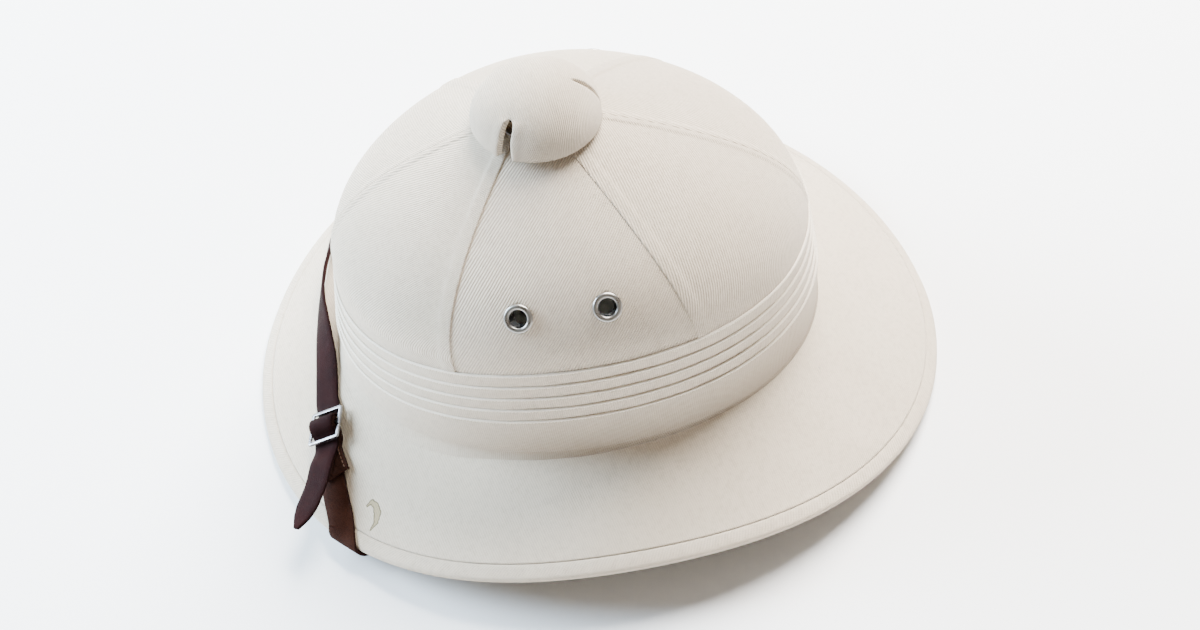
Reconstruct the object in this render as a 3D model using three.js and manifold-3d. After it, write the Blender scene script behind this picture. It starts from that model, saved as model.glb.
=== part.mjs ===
// A six-panel pith helmet with a pleated band, a lobed ventilator cap and a leather chin strap.
// Millimetres. +Z is up, the front of the helmet faces -Y and the wearer's left is +X.
// The helmet lies on z = 0 on the front and the back of its brim, with its sides clear.
// A heading is an angle about +Z, in radians, from the front centre round towards the wearer's left.
import * as THREE from 'three';
import { LoftGeometry } from 'three/addons/geometries/LoftGeometry.js';
import { mergeVertices } from 'three/addons/utils/BufferGeometryUtils.js';
import Module from 'manifold-3d';

const { cos, sin, atan2, hypot, PI, sqrt } = Math;
const degrees = (angle) => (angle * PI) / 180;
const lerp = (from, to, part) => from + (to - from) * part;

const wasm = await Module();
wasm.setup();

// Crown: an oval at the band, closing upwards to an apex that leans to the front.
const CROWN_HALF_LENGTH = 112.5;
const CROWN_HALF_WIDTH = 94;
const CROWN_INSET = 4.1;
const APEX_HEIGHT = 168;
const APEX_FORWARD = 10;
const CROWN_FULLNESS = 2.2;
const TOP_HOLE_RISE = 0.93;

// Crease where the band meets the brim: higher at the sides and at the back.
const CREASE_HEIGHT = 40.2;
const CREASE_BACK_RISE = 7.9;
const CREASE_SIDE_RISE = 6.2;

// Brim: egg-shaped in plan, longer behind, lowest at the front and the back.
const BRIM_HALF_LENGTH = 166.4;
const BRIM_HALF_WIDTH = 147;
const BRIM_BACK_REACH = 4.8;
const BRIM_BACK_POINT = 2.3;
const BRIM_SQUARE = 1.15;
const BRIM_SIDE_LIFT = 11.9;
const BRIM_QUARTER_DROP = 2.2;
const BRIM_REST_CUT = 0.9;
const BRIM_CROWNING = 0.6;
const BRIM_EDGE_DROOP = degrees(2.3);

// Walls, and the gap that is kept between two pieces.
const GAP = 0.3;
const CLOTH = 1;
const CROWN_WALL = 4;
const BRIM_WALL = 3;
const EDGE_HALF_THICKNESS = 2.2;
const BINDING_WALL = 0.9;
const BINDING_WIDTH = 5.7;
const REST_HALF_WIDTH = 0.95;

// Band: four pleats and a plain base, each lapped over the one above. Heights are above the crease.
const BAND_LAYERS = [
  { name: 'pleat_1', top: 52.4, reach: -2.84 },
  { name: 'pleat_2', top: 45.2, reach: -1.88 },
  { name: 'pleat_3', top: 38.4, reach: -0.92 },
  { name: 'pleat_4', top: 31.7, reach: 0.04 },
  { name: 'band_base', top: 24.9, reach: 1 },
];
const BAND_TOP = BAND_LAYERS[0].top;
const PLEAT_TUCK = 2;
const PLEAT_LEAN = 0.42;
const PANEL_TUCK = 6;

// Panels and eyelets.
const SEAM_HEADINGS = [0, 56.6, 123.2, 180, 236.8, 303.4, 360].map(degrees);
const PANEL_NAMES = [
  'panel_front_left',
  'panel_left',
  'panel_back_left',
  'panel_back_right',
  'panel_right',
  'panel_front_right',
];
const STEPS_PER_PANEL = 6;
const SEAM_GAP = 0.6;
const LEFT_EYELET_RISE = 0.36;
const RIGHT_EYELET_RISE = 0.21;
const EYELET_SPREAD = degrees(13.25);
const EYELET_RADIUS = 6.3;
const EYELET_HOLE = 3.8;
const EYELET_BARREL = 4.4;
const EYELET_CUT = 4.8;
const EYELET_PLAY = 1.9;

// Ventilator cap.
const CAP_FORWARD = 7.8;
const CAP_RADIUS = 28.5;
const CAP_RIM_HEIGHT = 161.5;
const CAP_HEIGHT = 22.5;
const CAP_WALL = 1.6;
const CAP_LOBE = 0.7;
const CAP_SLITS = 3;
const CAP_SLIT_HEADING = degrees(59);
const CAP_SLIT_WIDTH = 4.2;
const CAP_SLIT_TOP = 14;
const NECK_RADIUS = 11;
const NECK_WALL = 2;
const NECK_FLANGE = 17;

// Chin strap and its buckle.
const STRAP_WIDTH = 13;
const LEATHER = 1.4;
const STRAP_CLEARANCE = 0.6;
const UNDER_BRIM_CLEARANCE = 1.9;
const EDGE_CROSSING_ANGLE = degrees(46);
const BUCKLE_LENGTH = 18.4;
const BUCKLE_WIDTH = 17.2;
const BUCKLE_WIRE = 1.6;
const BUCKLE_TILT = degrees(13.5);
const BUCKLE_TURN = degrees(-4);
const BUCKLE_PLACE = { x: 51.8, y: -121.4, lift: 5.5 };
const FOLD_RADIUS = 2;

const TWILL = { color: 0xe9e4da, roughness: 0.9, metalness: 0 };
const PITH = { color: 0xcbbf9f, roughness: 0.95, metalness: 0 };
const LEATHER_BROWN = { color: 0x3a211c, roughness: 0.5, metalness: 0 };
const NICKEL = { color: 0xc9cbcc, roughness: 0.25, metalness: 1 };

// ---------- outlines, as functions of the heading ----------

function oval(heading, halfLength, halfWidth) {
  return (halfLength * halfWidth) / hypot(halfWidth * cos(heading), halfLength * sin(heading));
}

function crownRadius(heading) {
  return oval(heading, CROWN_HALF_LENGTH, CROWN_HALF_WIDTH);
}

function creaseHeight(heading) {
  return CREASE_HEIGHT - CREASE_BACK_RISE * cos(heading) - CREASE_SIDE_RISE * cos(2 * heading);
}

function edgeRadius(heading) {
  const plan = oval(heading, BRIM_HALF_LENGTH, BRIM_HALF_WIDTH);
  const reach = BRIM_BACK_REACH * cos(heading) + BRIM_BACK_POINT * cos(3 * heading);
  return plan - reach - BRIM_SQUARE * cos(4 * heading);
}

function edgeHeight(heading) {
  const saddle = BRIM_SIDE_LIFT * (1 - cos(2 * heading));
  const quarter = BRIM_QUARTER_DROP * (cos(heading) - cos(3 * heading));
  return EDGE_HALF_THICKNESS + Math.max(0, saddle - quarter - BRIM_REST_CUT);
}

function at(heading, radius, height, forward = 0) {
  return new THREE.Vector3(radius * sin(heading), -radius * cos(heading) - forward, height);
}

// ---------- the brim's section: points are (radius, height) in the plane of a heading ----------

function brimSlope(heading) {
  const drop = creaseHeight(heading) - edgeHeight(heading);
  const reach = edgeRadius(heading) - crownRadius(heading) - 1;
  return atan2(drop, reach) + BRIM_EDGE_DROOP;
}

// A point of the binding's section: inwards from the roll's centre, and above its middle line.
function edgePoint(heading, inwards, above) {
  const slope = brimSlope(heading);
  return {
    radius: edgeRadius(heading) - EDGE_HALF_THICKNESS - inwards * cos(slope) + above * sin(slope),
    height: edgeHeight(heading) + inwards * sin(slope) + above * cos(slope),
  };
}

// The top of the brim's cover, from the crease at part 0 to the binding at part 1, or depth below it.
function brimPoint(heading, part, depth = 0) {
  const slope = brimSlope(heading);
  const outer = edgePoint(heading, BINDING_WIDTH + GAP, EDGE_HALF_THICKNESS - 0.2);
  const crowning = BRIM_CROWNING * 4 * part * (1 - part);
  const crease = { radius: crownRadius(heading) + 1, height: creaseHeight(heading) };
  return {
    radius: lerp(crease.radius, outer.radius, part) - depth * sin(slope),
    height: lerp(crease.height, outer.height, part) + crowning - depth * cos(slope),
  };
}

// ---------- the crown's meridian ----------

// The outside of the crown's cloth from the band at rise 0 to the apex at rise 1, or depth inside it.
function crownPoint(heading, rise, depth = 0) {
  const base = crownRadius(heading) - CROWN_INSET;
  const bottom = creaseHeight(heading) + BAND_TOP;
  const tall = APEX_HEIGHT - bottom;
  const inwards = base * CROWN_FULLNESS * rise ** (CROWN_FULLNESS - 1);
  const scale = depth / hypot(inwards, tall);
  return {
    radius: base * (1 - rise ** CROWN_FULLNESS) - tall * scale,
    height: bottom + tall * rise - inwards * scale,
    forward: APEX_FORWARD * rise,
  };
}

function bandPoint(heading, reach, height) {
  return { radius: crownRadius(heading) + reach, height: creaseHeight(heading) + height };
}

// ---------- solids ----------

// Headings at the seams and at even steps between them, over the panels from first to last.
function panelHeadings(first, last) {
  const headings = [];
  for (let panel = first; panel <= last; panel += 1) {
    for (let step = 0; step < STEPS_PER_PANEL; step += 1) {
      headings.push(lerp(SEAM_HEADINGS[panel], SEAM_HEADINGS[panel + 1], step / STEPS_PER_PANEL));
    }
  }
  headings.push(SEAM_HEADINGS[last + 1]);
  return headings;
}

const FULL_TURN = panelHeadings(0, PANEL_NAMES.length - 1);

// A wall from its inner line, listed upwards, and its outer line, listed downwards.
function sectionLoop(heading, inner, outer) {
  return [...inner, ...outer].map((point) => at(heading, point.radius, point.height, point.forward));
}

function ringWall(section) {
  const sections = FULL_TURN.slice(0, -1).map(section);
  return new LoftGeometry([...sections, sections[0]]);
}

function solidOf(geometry) {
  const bare = new THREE.BufferGeometry().setAttribute('position', geometry.getAttribute('position'));
  const merged = mergeVertices(bare.setIndex(geometry.index), 1e-3);
  const vertProperties = merged.attributes.position.array;
  return new wasm.Manifold(new wasm.Mesh({ numProp: 3, vertProperties, triVerts: merged.index.array }));
}

function geometryOf(solid) {
  const { vertProperties, triVerts } = solid.getMesh();
  const geometry = new THREE.BufferGeometry();
  geometry.setAttribute('position', new THREE.BufferAttribute(vertProperties, 3));
  geometry.setIndex(new THREE.BufferAttribute(triVerts, 1));
  geometry.computeVertexNormals();
  return geometry;
}

function cut(geometry, tools) {
  const cutSolid = tools.reduce((solid, tool) => solid.subtract(solidOf(tool)), solidOf(geometry));
  return geometryOf(cutSolid);
}

function helmetBodySection(heading) {
  const pith = CLOTH + GAP;
  const brimTopDepth = CLOTH + 2 * GAP;
  const brimUnder = brimTopDepth + BRIM_WALL;
  const halfEdge = EDGE_HALF_THICKNESS - BINDING_WALL - 2 * GAP;
  const rises = [0, 0.22, 0.42, 0.6, 0.77, TOP_HOLE_RISE];
  const inner = [
    edgePoint(heading, 0, -halfEdge),
    edgePoint(heading, BINDING_WIDTH + 2, -halfEdge),
    brimPoint(heading, 0.75, brimUnder),
    brimPoint(heading, 0.35, brimUnder),
    bandPoint(heading, -1, -5),
    bandPoint(heading, -5.8, -2),
    bandPoint(heading, -6.6, 3),
    bandPoint(heading, -10, 45.5),
    ...rises.map((rise) => crownPoint(heading, rise, pith + CROWN_WALL)),
  ];
  const outer = [
    ...rises.toReversed().map((rise) => crownPoint(heading, rise, pith)),
    bandPoint(heading, -5.8, 45.5),
    bandPoint(heading, -2, 2.5),
    bandPoint(heading, 0.9, -1.8),
    brimPoint(heading, 0.35, brimTopDepth),
    brimPoint(heading, 0.75, brimTopDepth),
    edgePoint(heading, BINDING_WIDTH, halfEdge),
    edgePoint(heading, 0, halfEdge),
  ];
  return sectionLoop(heading, inner, outer);
}

function brimCoverSection(heading) {
  const start = { radius: crownRadius(heading) + 1.3, height: creaseHeight(heading) - 0.2 };
  const under = { radius: start.radius, height: start.height - CLOTH };
  const inner = [brimPoint(heading, 1, CLOTH), brimPoint(heading, 0.75, CLOTH), brimPoint(heading, 0.35, CLOTH), under];
  const outer = [start, brimPoint(heading, 0.35), brimPoint(heading, 0.75), brimPoint(heading, 1)];
  return sectionLoop(heading, inner, outer);
}

// A rolled edge with a flat under it, so that the lowest stretches of the brim lie on a surface.
function bindingSection(heading) {
  const slot = EDGE_HALF_THICKNESS - BINDING_WALL;
  const middle = { radius: edgeRadius(heading) - EDGE_HALF_THICKNESS, height: edgeHeight(heading) };
  const round = (angle) => ({
    radius: middle.radius + EDGE_HALF_THICKNESS * cos(angle),
    height: middle.height + EDGE_HALF_THICKNESS * sin(angle),
  });
  const rest = (across) => ({
    radius: middle.radius + across,
    height: middle.height - EDGE_HALF_THICKNESS,
  });
  const inner = [
    edgePoint(heading, BINDING_WIDTH, -EDGE_HALF_THICKNESS),
    edgePoint(heading, BINDING_WIDTH, -slot),
    edgePoint(heading, -0.7, -slot * 0.75),
    edgePoint(heading, -0.7, slot * 0.75),
    edgePoint(heading, BINDING_WIDTH, slot),
    edgePoint(heading, BINDING_WIDTH, EDGE_HALF_THICKNESS),
  ];
  const outer = [
    edgePoint(heading, 0, EDGE_HALF_THICKNESS),
    round(degrees(22)),
    round(degrees(-20)),
    rest(REST_HALF_WIDTH),
    rest(-REST_HALF_WIDTH),
  ];
  return sectionLoop(heading, inner, outer);
}

// One layer of the band: its top edge stands proud, and its foot is tucked behind the next layer.
function bandLayerSection(layer, next) {
  return (heading) => {
    const foot = next ? next.top - PLEAT_TUCK : GAP;
    const lean = next ? PLEAT_LEAN : 0;
    const inner = [
      bandPoint(heading, layer.reach - lean - CLOTH, foot),
      bandPoint(heading, layer.reach - CLOTH, layer.top),
    ];
    const outer = [bandPoint(heading, layer.reach, layer.top), bandPoint(heading, layer.reach - lean, foot)];
    return sectionLoop(heading, inner, outer);
  };
}

function panelSection(heading) {
  const rises = [0, 0.22, 0.42, 0.6, 0.77, 0.9];
  const foot = BAND_TOP - PANEL_TUCK;
  const tuck = -CROWN_INSET - 0.45;
  const inner = [
    bandPoint(heading, tuck - CLOTH + 0.2, foot),
    ...rises.map((rise) => crownPoint(heading, rise, CLOTH)),
  ];
  const outer = [...rises.toReversed().map((rise) => crownPoint(heading, rise)), bandPoint(heading, tuck, foot)];
  return sectionLoop(heading, inner, outer);
}

function panel(index) {
  const headings = panelHeadings(index, index);
  const middle = (headings[0] + headings.at(-1)) / 2;
  const trim = SEAM_GAP / 2 / CROWN_HALF_WIDTH;
  const inset = (heading) => heading + trim * Math.sign(middle - heading);
  const stations = headings.map((heading, i) => (i === 0 || i === headings.length - 1 ? inset(heading) : heading));
  return new LoftGeometry(stations.map(panelSection), { capStart: true, capEnd: true });
}

// ---------- eyelets ----------

const EYELET_PLACES = [
  { name: 'eyelet_left_front', heading: PI / 2 - EYELET_SPREAD, rise: LEFT_EYELET_RISE },
  { name: 'eyelet_left_back', heading: PI / 2 + EYELET_SPREAD, rise: LEFT_EYELET_RISE },
  { name: 'eyelet_right_back', heading: (3 * PI) / 2 - EYELET_SPREAD, rise: RIGHT_EYELET_RISE },
  { name: 'eyelet_right_front', heading: (3 * PI) / 2 + EYELET_SPREAD, rise: RIGHT_EYELET_RISE },
];

// The turn and place of an axis that leaves the crown squarely at an eyelet.
function eyeletFrame({ heading, rise }) {
  const onCrown = (turn, climb) => {
    const point = crownPoint(turn, climb);
    return at(turn, point.radius, point.height, point.forward);
  };
  const place = onCrown(heading, rise);
  const along = onCrown(heading + 0.02, rise).sub(place);
  const up = onCrown(heading, rise + 0.02).sub(place);
  const out = along.cross(up).normalize();
  const turn = new THREE.Quaternion().setFromUnitVectors(new THREE.Vector3(0, 1, 0), out);
  return new THREE.Matrix4().compose(place, turn, new THREE.Vector3(1, 1, 1));
}

function eyeletCutter(spot) {
  return new THREE.CylinderGeometry(EYELET_CUT, EYELET_CUT, 30, 16).applyMatrix4(eyeletFrame(spot));
}

// A barrel through the wall, with a rolled flange outside and a flat one inside.
function eyelet(spot) {
  const inside = -(CLOTH + GAP + CROWN_WALL + EYELET_PLAY);
  const profile = [
    [EYELET_HOLE, inside - 0.5],
    [EYELET_RADIUS - 0.4, inside - 0.5],
    [EYELET_RADIUS - 0.4, inside],
    [EYELET_BARREL, inside],
    [EYELET_BARREL, GAP + 0.1],
    [EYELET_RADIUS, GAP + 0.1],
    [EYELET_RADIUS - 0.2, 1.1],
    [(EYELET_RADIUS + EYELET_HOLE) / 2, 1.7],
    [EYELET_HOLE + 0.2, 1.1],
    [EYELET_HOLE, inside - 0.5],
  ];
  const points = profile.map(([radius, height]) => new THREE.Vector2(radius, height));
  return new THREE.LatheGeometry(points, 16).applyMatrix4(eyeletFrame(spot));
}

// ---------- ventilator cap ----------

const CAP_CENTRE = new THREE.Vector3(0, -CAP_FORWARD, 0);

function capSection(heading) {
  const lobe = CAP_LOBE * cos(CAP_SLITS * (heading - CAP_SLIT_HEADING));
  const dome = (radius, height, angle) => ({
    radius: (radius - lobe * cos(angle)) * cos(angle),
    height: CAP_RIM_HEIGHT + height * sin(angle),
  });
  const climb = [0, 18, 36, 54, 74, 90].map(degrees);
  const inner = climb.map((angle) => dome(CAP_RADIUS - CAP_WALL, CAP_HEIGHT - CAP_WALL, angle));
  const outer = climb.toReversed().map((angle) => dome(CAP_RADIUS, CAP_HEIGHT, angle));
  return [...inner, ...outer].map((point) => at(heading, point.radius, point.height).add(CAP_CENTRE));
}

// A slot with a round top, standing radially on the slit's heading.
function capSlit(heading) {
  const half = CAP_SLIT_WIDTH / 2;
  const outline = new THREE.Shape();
  outline.moveTo(-half, -3);
  outline.lineTo(half, -3);
  outline.lineTo(half, CAP_SLIT_TOP - half);
  outline.absarc(0, CAP_SLIT_TOP - half, half, 0, PI);
  outline.closePath();
  const slot = new THREE.ExtrudeGeometry(outline, { depth: 25, bevelEnabled: false, curveSegments: 4 });
  slot.translate(0, 0, 12);
  slot.rotateX(PI / 2);
  slot.rotateZ(heading);
  return slot.translate(CAP_CENTRE.x, CAP_CENTRE.y, CAP_RIM_HEIGHT);
}

function ventCap() {
  const steps = 24;
  const sections = [];
  for (let step = 0; step < steps; step += 1) {
    sections.push(capSection((step / steps) * 2 * PI));
  }
  const shell = new LoftGeometry([...sections, sections[0]]);
  const slits = [];
  for (let slit = 0; slit < CAP_SLITS; slit += 1) {
    slits.push(capSlit(CAP_SLIT_HEADING + (slit / CAP_SLITS) * 2 * PI));
  }
  return cut(shell, slits);
}

// The hidden neck stands on the crown's top hole and carries the cap.
function ventNeck() {
  const foot = crownPoint(0, TOP_HOLE_RISE, CLOTH + GAP).height + 1.9;
  const span = NECK_RADIUS / (CAP_RADIUS - CAP_WALL - CAP_LOBE);
  const top = CAP_RIM_HEIGHT + (CAP_HEIGHT - CAP_WALL) * sqrt(1 - span * span) - 0.7;
  const profile = [
    [NECK_RADIUS - NECK_WALL, foot],
    [NECK_FLANGE, foot],
    [NECK_FLANGE, foot + 1.2],
    [NECK_RADIUS, foot + 1.2],
    [NECK_RADIUS, top],
    [NECK_RADIUS - NECK_WALL, top],
    [NECK_RADIUS - NECK_WALL, foot],
  ];
  const points = profile.map(([radius, height]) => new THREE.Vector2(radius, height));
  return new THREE.LatheGeometry(points, 24).rotateX(PI / 2).translate(CAP_CENTRE.x, CAP_CENTRE.y, 0);
}

// ---------- chin strap ----------

// The height of the brim's upper side at a place in plan.
function brimTop(x, y) {
  const heading = atan2(x, -y);
  const inner = brimPoint(heading, 0);
  const outer = brimPoint(heading, 1);
  const part = (hypot(x, y) - inner.radius) / (outer.radius - inner.radius);
  return brimPoint(heading, part).height;
}

// A station of a strap: its middle, the way that its upper face looks, and, where the strap is bent
// across a slanting line, the line itself as its side.
function station(place, face, side) {
  return { place, face: face.normalize(), side };
}

// A direction in the plane of a heading, tipped outwards from straight up.
function tipped(heading, tip) {
  return at(heading, sin(tip), cos(tip));
}

// Lying on the brim: raise is what lies under the strap, and tip turns it up on its outer edge.
function onBrim({ x, y, raise = 0, tip = 0 }) {
  const heading = atan2(x, -y);
  const turn = degrees(tip);
  const lift = raise + STRAP_CLEARANCE + (STRAP_WIDTH * sin(turn) + LEATHER * cos(turn)) / 2;
  const place = new THREE.Vector3(x, y, brimTop(x, y) + lift / cos(brimSlope(heading)));
  return station(place, tipped(heading, brimSlope(heading) + turn));
}

// Round the brim's edge: half a turn about the roll, while the heading drifts.
function roundEdge({ enter, leave, steps }) {
  const stations = [];
  const reach = EDGE_HALF_THICKNESS + STRAP_CLEARANCE + GAP + LEATHER / 2;
  const slant = STRAP_WIDTH / sin(EDGE_CROSSING_ANGLE);
  for (let step = 0; step <= steps; step += 1) {
    const heading = degrees(lerp(enter, leave, step / steps));
    const tip = brimSlope(heading) + (step / steps) * PI;
    const radius = edgeRadius(heading) - EDGE_HALF_THICKNESS + reach * sin(tip);
    const place = at(heading, radius, edgeHeight(heading) + reach * cos(tip));
    const ahead = at(heading + 0.05, edgeRadius(heading + 0.05), edgeHeight(heading + 0.05));
    const behind = at(heading - 0.05, edgeRadius(heading - 0.05), edgeHeight(heading - 0.05));
    stations.push(station(place, tipped(heading, tip), ahead.sub(behind).setLength(slant)));
  }
  return stations;
}

function underBrim({ x, y }) {
  const heading = atan2(x, -y);
  const slope = brimSlope(heading);
  const drop = (2 * EDGE_HALF_THICKNESS + UNDER_BRIM_CLEARANCE + LEATHER / 2) / cos(slope);
  return station(new THREE.Vector3(x, y, brimTop(x, y) - drop), tipped(heading, slope + PI));
}

// Inside the crown: reach and height are those of bandPoint, and tip turns the face from up to inwards.
function insideCrown({ heading, reach, height, tip }) {
  const turn = degrees(heading);
  const point = bandPoint(turn, reach, height);
  return station(at(turn, point.radius, point.height), tipped(turn, degrees(tip)));
}

// A flat strip along its stations; narrow gives the last stations' widths, as parts of the whole.
function strip(stations, narrow = []) {
  const last = stations.length - 1;
  const curve = new THREE.CatmullRomCurve3(stations.map(({ place }) => place));
  const widths = stations.map((_, i) => narrow[i - stations.length + narrow.length] ?? 1);
  const sides = [];
  stations.forEach(({ face, side }, i) => {
    const across = new THREE.Vector3().crossVectors(curve.getTangent(i / last), face);
    const next = side ?? across.setLength(STRAP_WIDTH * widths[i]);
    sides.push(i > 0 && next.dot(sides[i - 1]) < 0 ? next.clone().negate() : next);
  });
  const sideCurve = new THREE.CatmullRomCurve3(sides);
  const sections = [];
  for (let step = 0; step <= 2 * last; step += 1) {
    const middle = curve.getPoint(step / last / 2);
    const side = sideCurve.getPoint(step / last / 2);
    const face = new THREE.Vector3().crossVectors(side, curve.getTangent(step / last / 2)).normalize();
    const corner = (across, above) =>
      middle.clone().addScaledVector(side, across / 2).addScaledVector(face, (above * LEATHER) / 2);
    sections.push([corner(-1, -1), corner(-1, 1), corner(1, 1), corner(1, -1)]);
  }
  return new LoftGeometry(sections, { capStart: true, capEnd: true });
}

const mirrored = ({ place, face, side }) => {
  const flip = ({ x, y, z }) => new THREE.Vector3(-x, y, z);
  return { place: flip(place), face: flip(face), side: side && flip(side) };
};

// From the sewn end inside the crown, under the brim and round its edge to the upper side.
function hiddenRun() {
  const inside = [
    { heading: 79, reach: -10, height: 18, tip: 268 },
    { heading: 78, reach: -9.6, height: 6, tip: 262 },
    { heading: 75, reach: -8.4, height: -3.6, tip: 232 },
    { heading: 70, reach: -2.4, height: -8, tip: 205 },
  ].map(insideCrown);
  const under = [
    { x: 98, y: -52 },
    { x: 104.5, y: -69 },
    { x: 108.5, y: -86 },
  ].map(underBrim);
  const edge = roundEdge({ enter: 42.5, leave: 45.2, steps: 5 });
  return [...inside, ...under, ...edge.toReversed()];
}

// Over the brim, from its edge to the buckle, on the wearer's left.
const SIDE_RUN = [
  { x: 98, y: -114.6 },
  { x: 86, y: -116.9 },
  { x: 74, y: -118.9 },
  { x: 64, y: -120.3 },
];

// From the right-hand edge, turned up on its outer edge round the front of the crown.
const FRONT_RUN = [
  { x: -98, y: -114.6, tip: 0 },
  { x: -86, y: -118, tip: 12 },
  { x: -66, y: -122.5, tip: 36 },
  { x: -42, y: -125.4, tip: 48 },
  { x: -25, y: -125.8, tip: 42 },
  { x: -12, y: -124.8, tip: 30 },
  { x: 0, y: -123.7, tip: 17 },
  { x: 12, y: -122.5, tip: 5 },
  { x: 25, y: -121.9, tip: 0 },
  { x: 36, y: -121.5, tip: 0 },
];

// Through the buckle, along it and above its middle bar: under its near bar, over its middle bar and
// the fold, and under its far bar.
const BUCKLE_RUN = [
  { along: -7.6, above: -4 },
  { along: -5.5, above: -3.5 },
  { along: -4.4, above: -1.5 },
  { along: -3.9, above: 0.4 },
  { along: -2.75, above: 2.6 },
  { along: 0, above: 3.8 },
  { along: 2.6, above: 3 },
  { along: 4.6, above: 0.9 },
  { along: 6.6, above: -0.35 },
  { along: 9, above: -0.65 },
  { along: 12.5, above: -0.2 },
];

// Free to the tip, standing off the brim.
const FREE_TAIL = [
  { x: 72.5, y: -122.6, z: 23.9, tip: 33 },
  { x: 83, y: -124.7, z: 23.1, tip: 39 },
  { x: 93.5, y: -128.3, z: 22.2, tip: 43 },
  { x: 99.5, y: -130.8, z: 21.5, tip: 43 },
  { x: 105, y: -133.5, z: 20.8, tip: 42 },
];
const TAIL_TIP = [1, 0.74, 0.12];

// The lower strap's way up to the middle bar, and its way back from the top of the bar.
const RISE_RUN = [
  { along: 7, above: -4.2 },
  { along: 3, above: -3.2 },
];
const FOLD_RUN = [
  { along: 2.1, above: 1.2 },
  { along: 3.9, above: -1.1 },
  { along: 6.6, above: -2.2 },
  { along: 9.5, above: -2.45 },
];
const FOLD_END = [
  { x: 68, y: -118.3, raise: 1.9 },
  { x: 77, y: -115.6, raise: 1.9 },
];

function chinStrap() {
  const tail = FREE_TAIL.map(({ x, y, z, tip }) => {
    return station(new THREE.Vector3(x, y, z), tipped(atan2(x, -y), degrees(tip)));
  });
  const front = FRONT_RUN.map(onBrim);
  return strip([...hiddenRun().map(mirrored), ...front, ...BUCKLE_RUN.map(inBuckle), ...tail], TAIL_TIP);
}

// The buckle's own axes: x along the strap, y across it and z off the brim, at its middle bar.
function buckleFrame() {
  const { x, y, lift } = BUCKLE_PLACE;
  const heading = atan2(x, -y);
  const normal = tipped(heading, brimSlope(heading));
  const along = new THREE.Vector3(1, 0, 0).addScaledVector(normal, -normal.x).normalize();
  const across = new THREE.Vector3().crossVectors(normal, along);
  const place = new THREE.Vector3(x, y, brimTop(x, y) + lift / cos(brimSlope(heading)));
  const axes = new THREE.Matrix4().makeBasis(along, across, normal).setPosition(place);
  return axes.multiply(new THREE.Matrix4().makeRotationZ(BUCKLE_TURN));
}

function inBuckle({ along, above }) {
  const frame = buckleFrame();
  const side = new THREE.Vector3(0, STRAP_WIDTH, 0);
  const face = new THREE.Vector3(0, 0, 1).transformDirection(frame);
  const place = new THREE.Vector3(along, 0, above).applyMatrix4(frame);
  return station(place, face, side.transformDirection(frame).setLength(STRAP_WIDTH));
}

// The lower strap passes under the buckle's middle bar, turns round it and lies back on itself.
function buckleStrap() {
  const turn = [-70, -110, -150, 170, 130, 90].map(degrees).map((angle) => {
    return { along: FOLD_RADIUS * cos(angle), above: FOLD_RADIUS * sin(angle) };
  });
  const run = [...RISE_RUN, ...turn, ...FOLD_RUN].map(inBuckle);
  return strip([...hiddenRun(), ...SIDE_RUN.map(onBrim), ...run, ...FOLD_END.map(onBrim)]);
}

function strapBuckle() {
  const long = BUCKLE_LENGTH / 2;
  const wide = BUCKLE_WIDTH / 2;
  const bar = BUCKLE_WIRE / 2;
  const corners = [[1, -1], [1, 1], [-1, 1], [-1, -1]].flatMap(([x, y]) => [
    new THREE.Vector2(x * (x === y ? long : long - bar), y * (x === y ? wide - bar : wide)),
    new THREE.Vector2(x * (x === y ? long - bar : long), y * (x === y ? wide : wide - bar)),
  ]);
  const bevel = BUCKLE_WIRE * 0.2;
  const plate = new THREE.ExtrudeGeometry(new THREE.Shape(corners), {
    depth: BUCKLE_WIRE - 2 * bevel,
    bevelThickness: bevel,
    bevelSize: bevel,
    bevelOffset: -bevel,
    bevelSegments: 1,
  });
  plate.translate(0, 0, bevel - BUCKLE_WIRE / 2);
  const reach = long - BUCKLE_WIRE - bar;
  const windows = [-1, 1].map((end) => {
    const opening = new THREE.BoxGeometry(reach, BUCKLE_WIDTH - 2 * BUCKLE_WIRE, 2 * BUCKLE_WIRE);
    return opening.translate(end * (bar + reach / 2), 0, 0);
  });
  return cut(plate, windows).rotateY(-BUCKLE_TILT).applyMatrix4(buckleFrame());
}

// ---------- the model ----------

const helmet = new THREE.Group();

// The crown's middle is the outlines' centre; the part's origin is under the middle of the brim.
const BRIM_MIDDLE = BRIM_BACK_REACH + BRIM_BACK_POINT;

function add(name, geometry, finish) {
  geometry.translate(0, -BRIM_MIDDLE, 0);
  const mesh = new THREE.Mesh(geometry, new THREE.MeshStandardMaterial(finish));
  mesh.name = name;
  helmet.add(mesh);
}

const cutters = EYELET_PLACES.map(eyeletCutter);
add('helmet_body', cut(ringWall(helmetBodySection), cutters), PITH);
add('brim_cover', ringWall(brimCoverSection), TWILL);
add('brim_binding', ringWall(bindingSection), TWILL);
BAND_LAYERS.forEach((layer, i) => {
  add(layer.name, ringWall(bandLayerSection(layer, BAND_LAYERS[i + 1])), TWILL);
});
PANEL_NAMES.forEach((name, i) => {
  const pierced = name === 'panel_left' || name === 'panel_right';
  add(name, pierced ? cut(panel(i), cutters) : panel(i), TWILL);
});
EYELET_PLACES.forEach((spot) => add(spot.name, eyelet(spot), NICKEL));
add('vent_cap', ventCap(), TWILL);
add('vent_neck', ventNeck(), NICKEL);
add('chin_strap', chinStrap(), LEATHER_BROWN);
add('buckle_strap', buckleStrap(), LEATHER_BROWN);
add('strap_buckle', strapBuckle(), NICKEL);

export default helmet;
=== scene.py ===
"""A six-panel twill pith helmet with a pleated band, a lobed ventilator cap and a leather chin strap.

Lengths in the shape functions are millimetres, measured from the middle of the crown. A heading is an
angle from the front centre (-Y) round towards the wearer's left (+X). to_part() gives the part's metres.
"""

from math import atan2, cos, hypot, pi, radians, sin, sqrt, tan

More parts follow.
